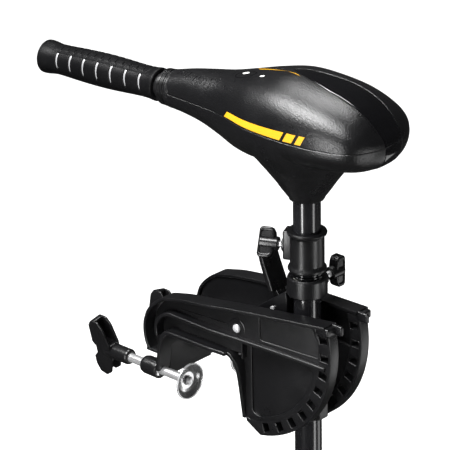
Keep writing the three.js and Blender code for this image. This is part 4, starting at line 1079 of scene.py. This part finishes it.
def softbox(name, place, aim, size, power, roll=0.0):
    """A rectangular light at a place, aimed at a point and rolled about its aim."""
    data = bpy.data.lights.new(name, "AREA")
    data.shape = "RECTANGLE"
    data.size, data.size_y = size
    data.energy = power
    light = bpy.data.objects.new(name, data)
    light.location = place
    facing = (Vector(aim) - Vector(place)).to_track_quat("-Z", "Y").to_matrix()
    light.rotation_euler = (facing @ Matrix.Rotation(math.radians(roll), 3, "Z")).to_euler()
    light.visible_camera = False
    bpy.context.scene.collection.objects.link(light)


CAMERA_AZIMUTH, CAMERA_ELEVATION, CAMERA_ROLL = math.radians(43.42), math.radians(23.03), math.radians(-1.14)
CAMERA_AIM = Vector((0.05464, -0.05712, 0.1578))
CAMERA_DISTANCE = 2.693
CAMERA_LENS = 212.6


def make_camera():
    """The camera, from its azimuth, elevation, roll, distance and lens."""
    data = bpy.data.cameras.new("camera")
    data.sensor_width = 36
    data.lens = CAMERA_LENS
    data.clip_start, data.clip_end = 0.05, 60
    camera = bpy.data.objects.new("camera", data)
    a, e, roll = CAMERA_AZIMUTH, CAMERA_ELEVATION, CAMERA_ROLL
    back = Vector((math.sin(a) * math.cos(e), -math.cos(a) * math.cos(e), math.sin(e)))
    right = Vector((math.cos(a), math.sin(a), 0))
    up = back.cross(right)
    turned_right = right * math.cos(roll) + up * math.sin(roll)
    turned_up = up * math.cos(roll) - right * math.sin(roll)
    axes = Matrix((turned_right, turned_up, back)).transposed().to_4x4()
    camera.matrix_world = Matrix.Translation(CAMERA_AIM + back * CAMERA_DISTANCE) @ axes
    bpy.context.scene.collection.objects.link(camera)
    bpy.context.scene.camera = camera


SUN_DIRECTION, SUN_STRENGTH, SUN_ANGLE = Vector((-0.533, -0.481, 0.694)), 3.4, 0.5


def make_lights():
    """One sun that reflections leave out, and the softboxes that the glossy surfaces show."""
    key = bpy.data.lights.new("key", "SUN")
    key.energy = SUN_STRENGTH
    key.angle = SUN_ANGLE
    lamp = bpy.data.objects.new("key", key)
    lamp.rotation_euler = SUN_DIRECTION.to_track_quat("Z", "Y").to_euler()
    lamp.visible_glossy = False
    bpy.context.scene.collection.objects.link(lamp)
    softbox("long_overhead", (-0.43, -1.1, 2.1), (0.1, 0, 0.26), (1.9, 0.6), 120, 31)
    softbox("tall_left", (0.2, -1.75, 0.05), (0.115, 0, 0.0), (0.26, 1.4), 24)
    softbox("low_right", (1.25, 0.14, -0.35), (0.115, 0, 0.1), (0.28, 0.9), 4)
    softbox("low_behind", (0.74, 0.76, -0.52), (0, -0.04, -0.05), (0.45, 0.45), 1.1)
    softbox("overhead", (-0.35, 0.5, 2.1), (0.12, 0, 0.3), (1.2, 0.4), 34)


bpy.context.scene.view_settings.view_transform = "Standard"
make_camera()
make_stage()
make_lights()
make_head()
make_tiller()
make_shaft()
make_bracket()
make_clamps()
make_arm()
make_motor()
make_propeller()
finish_carried()
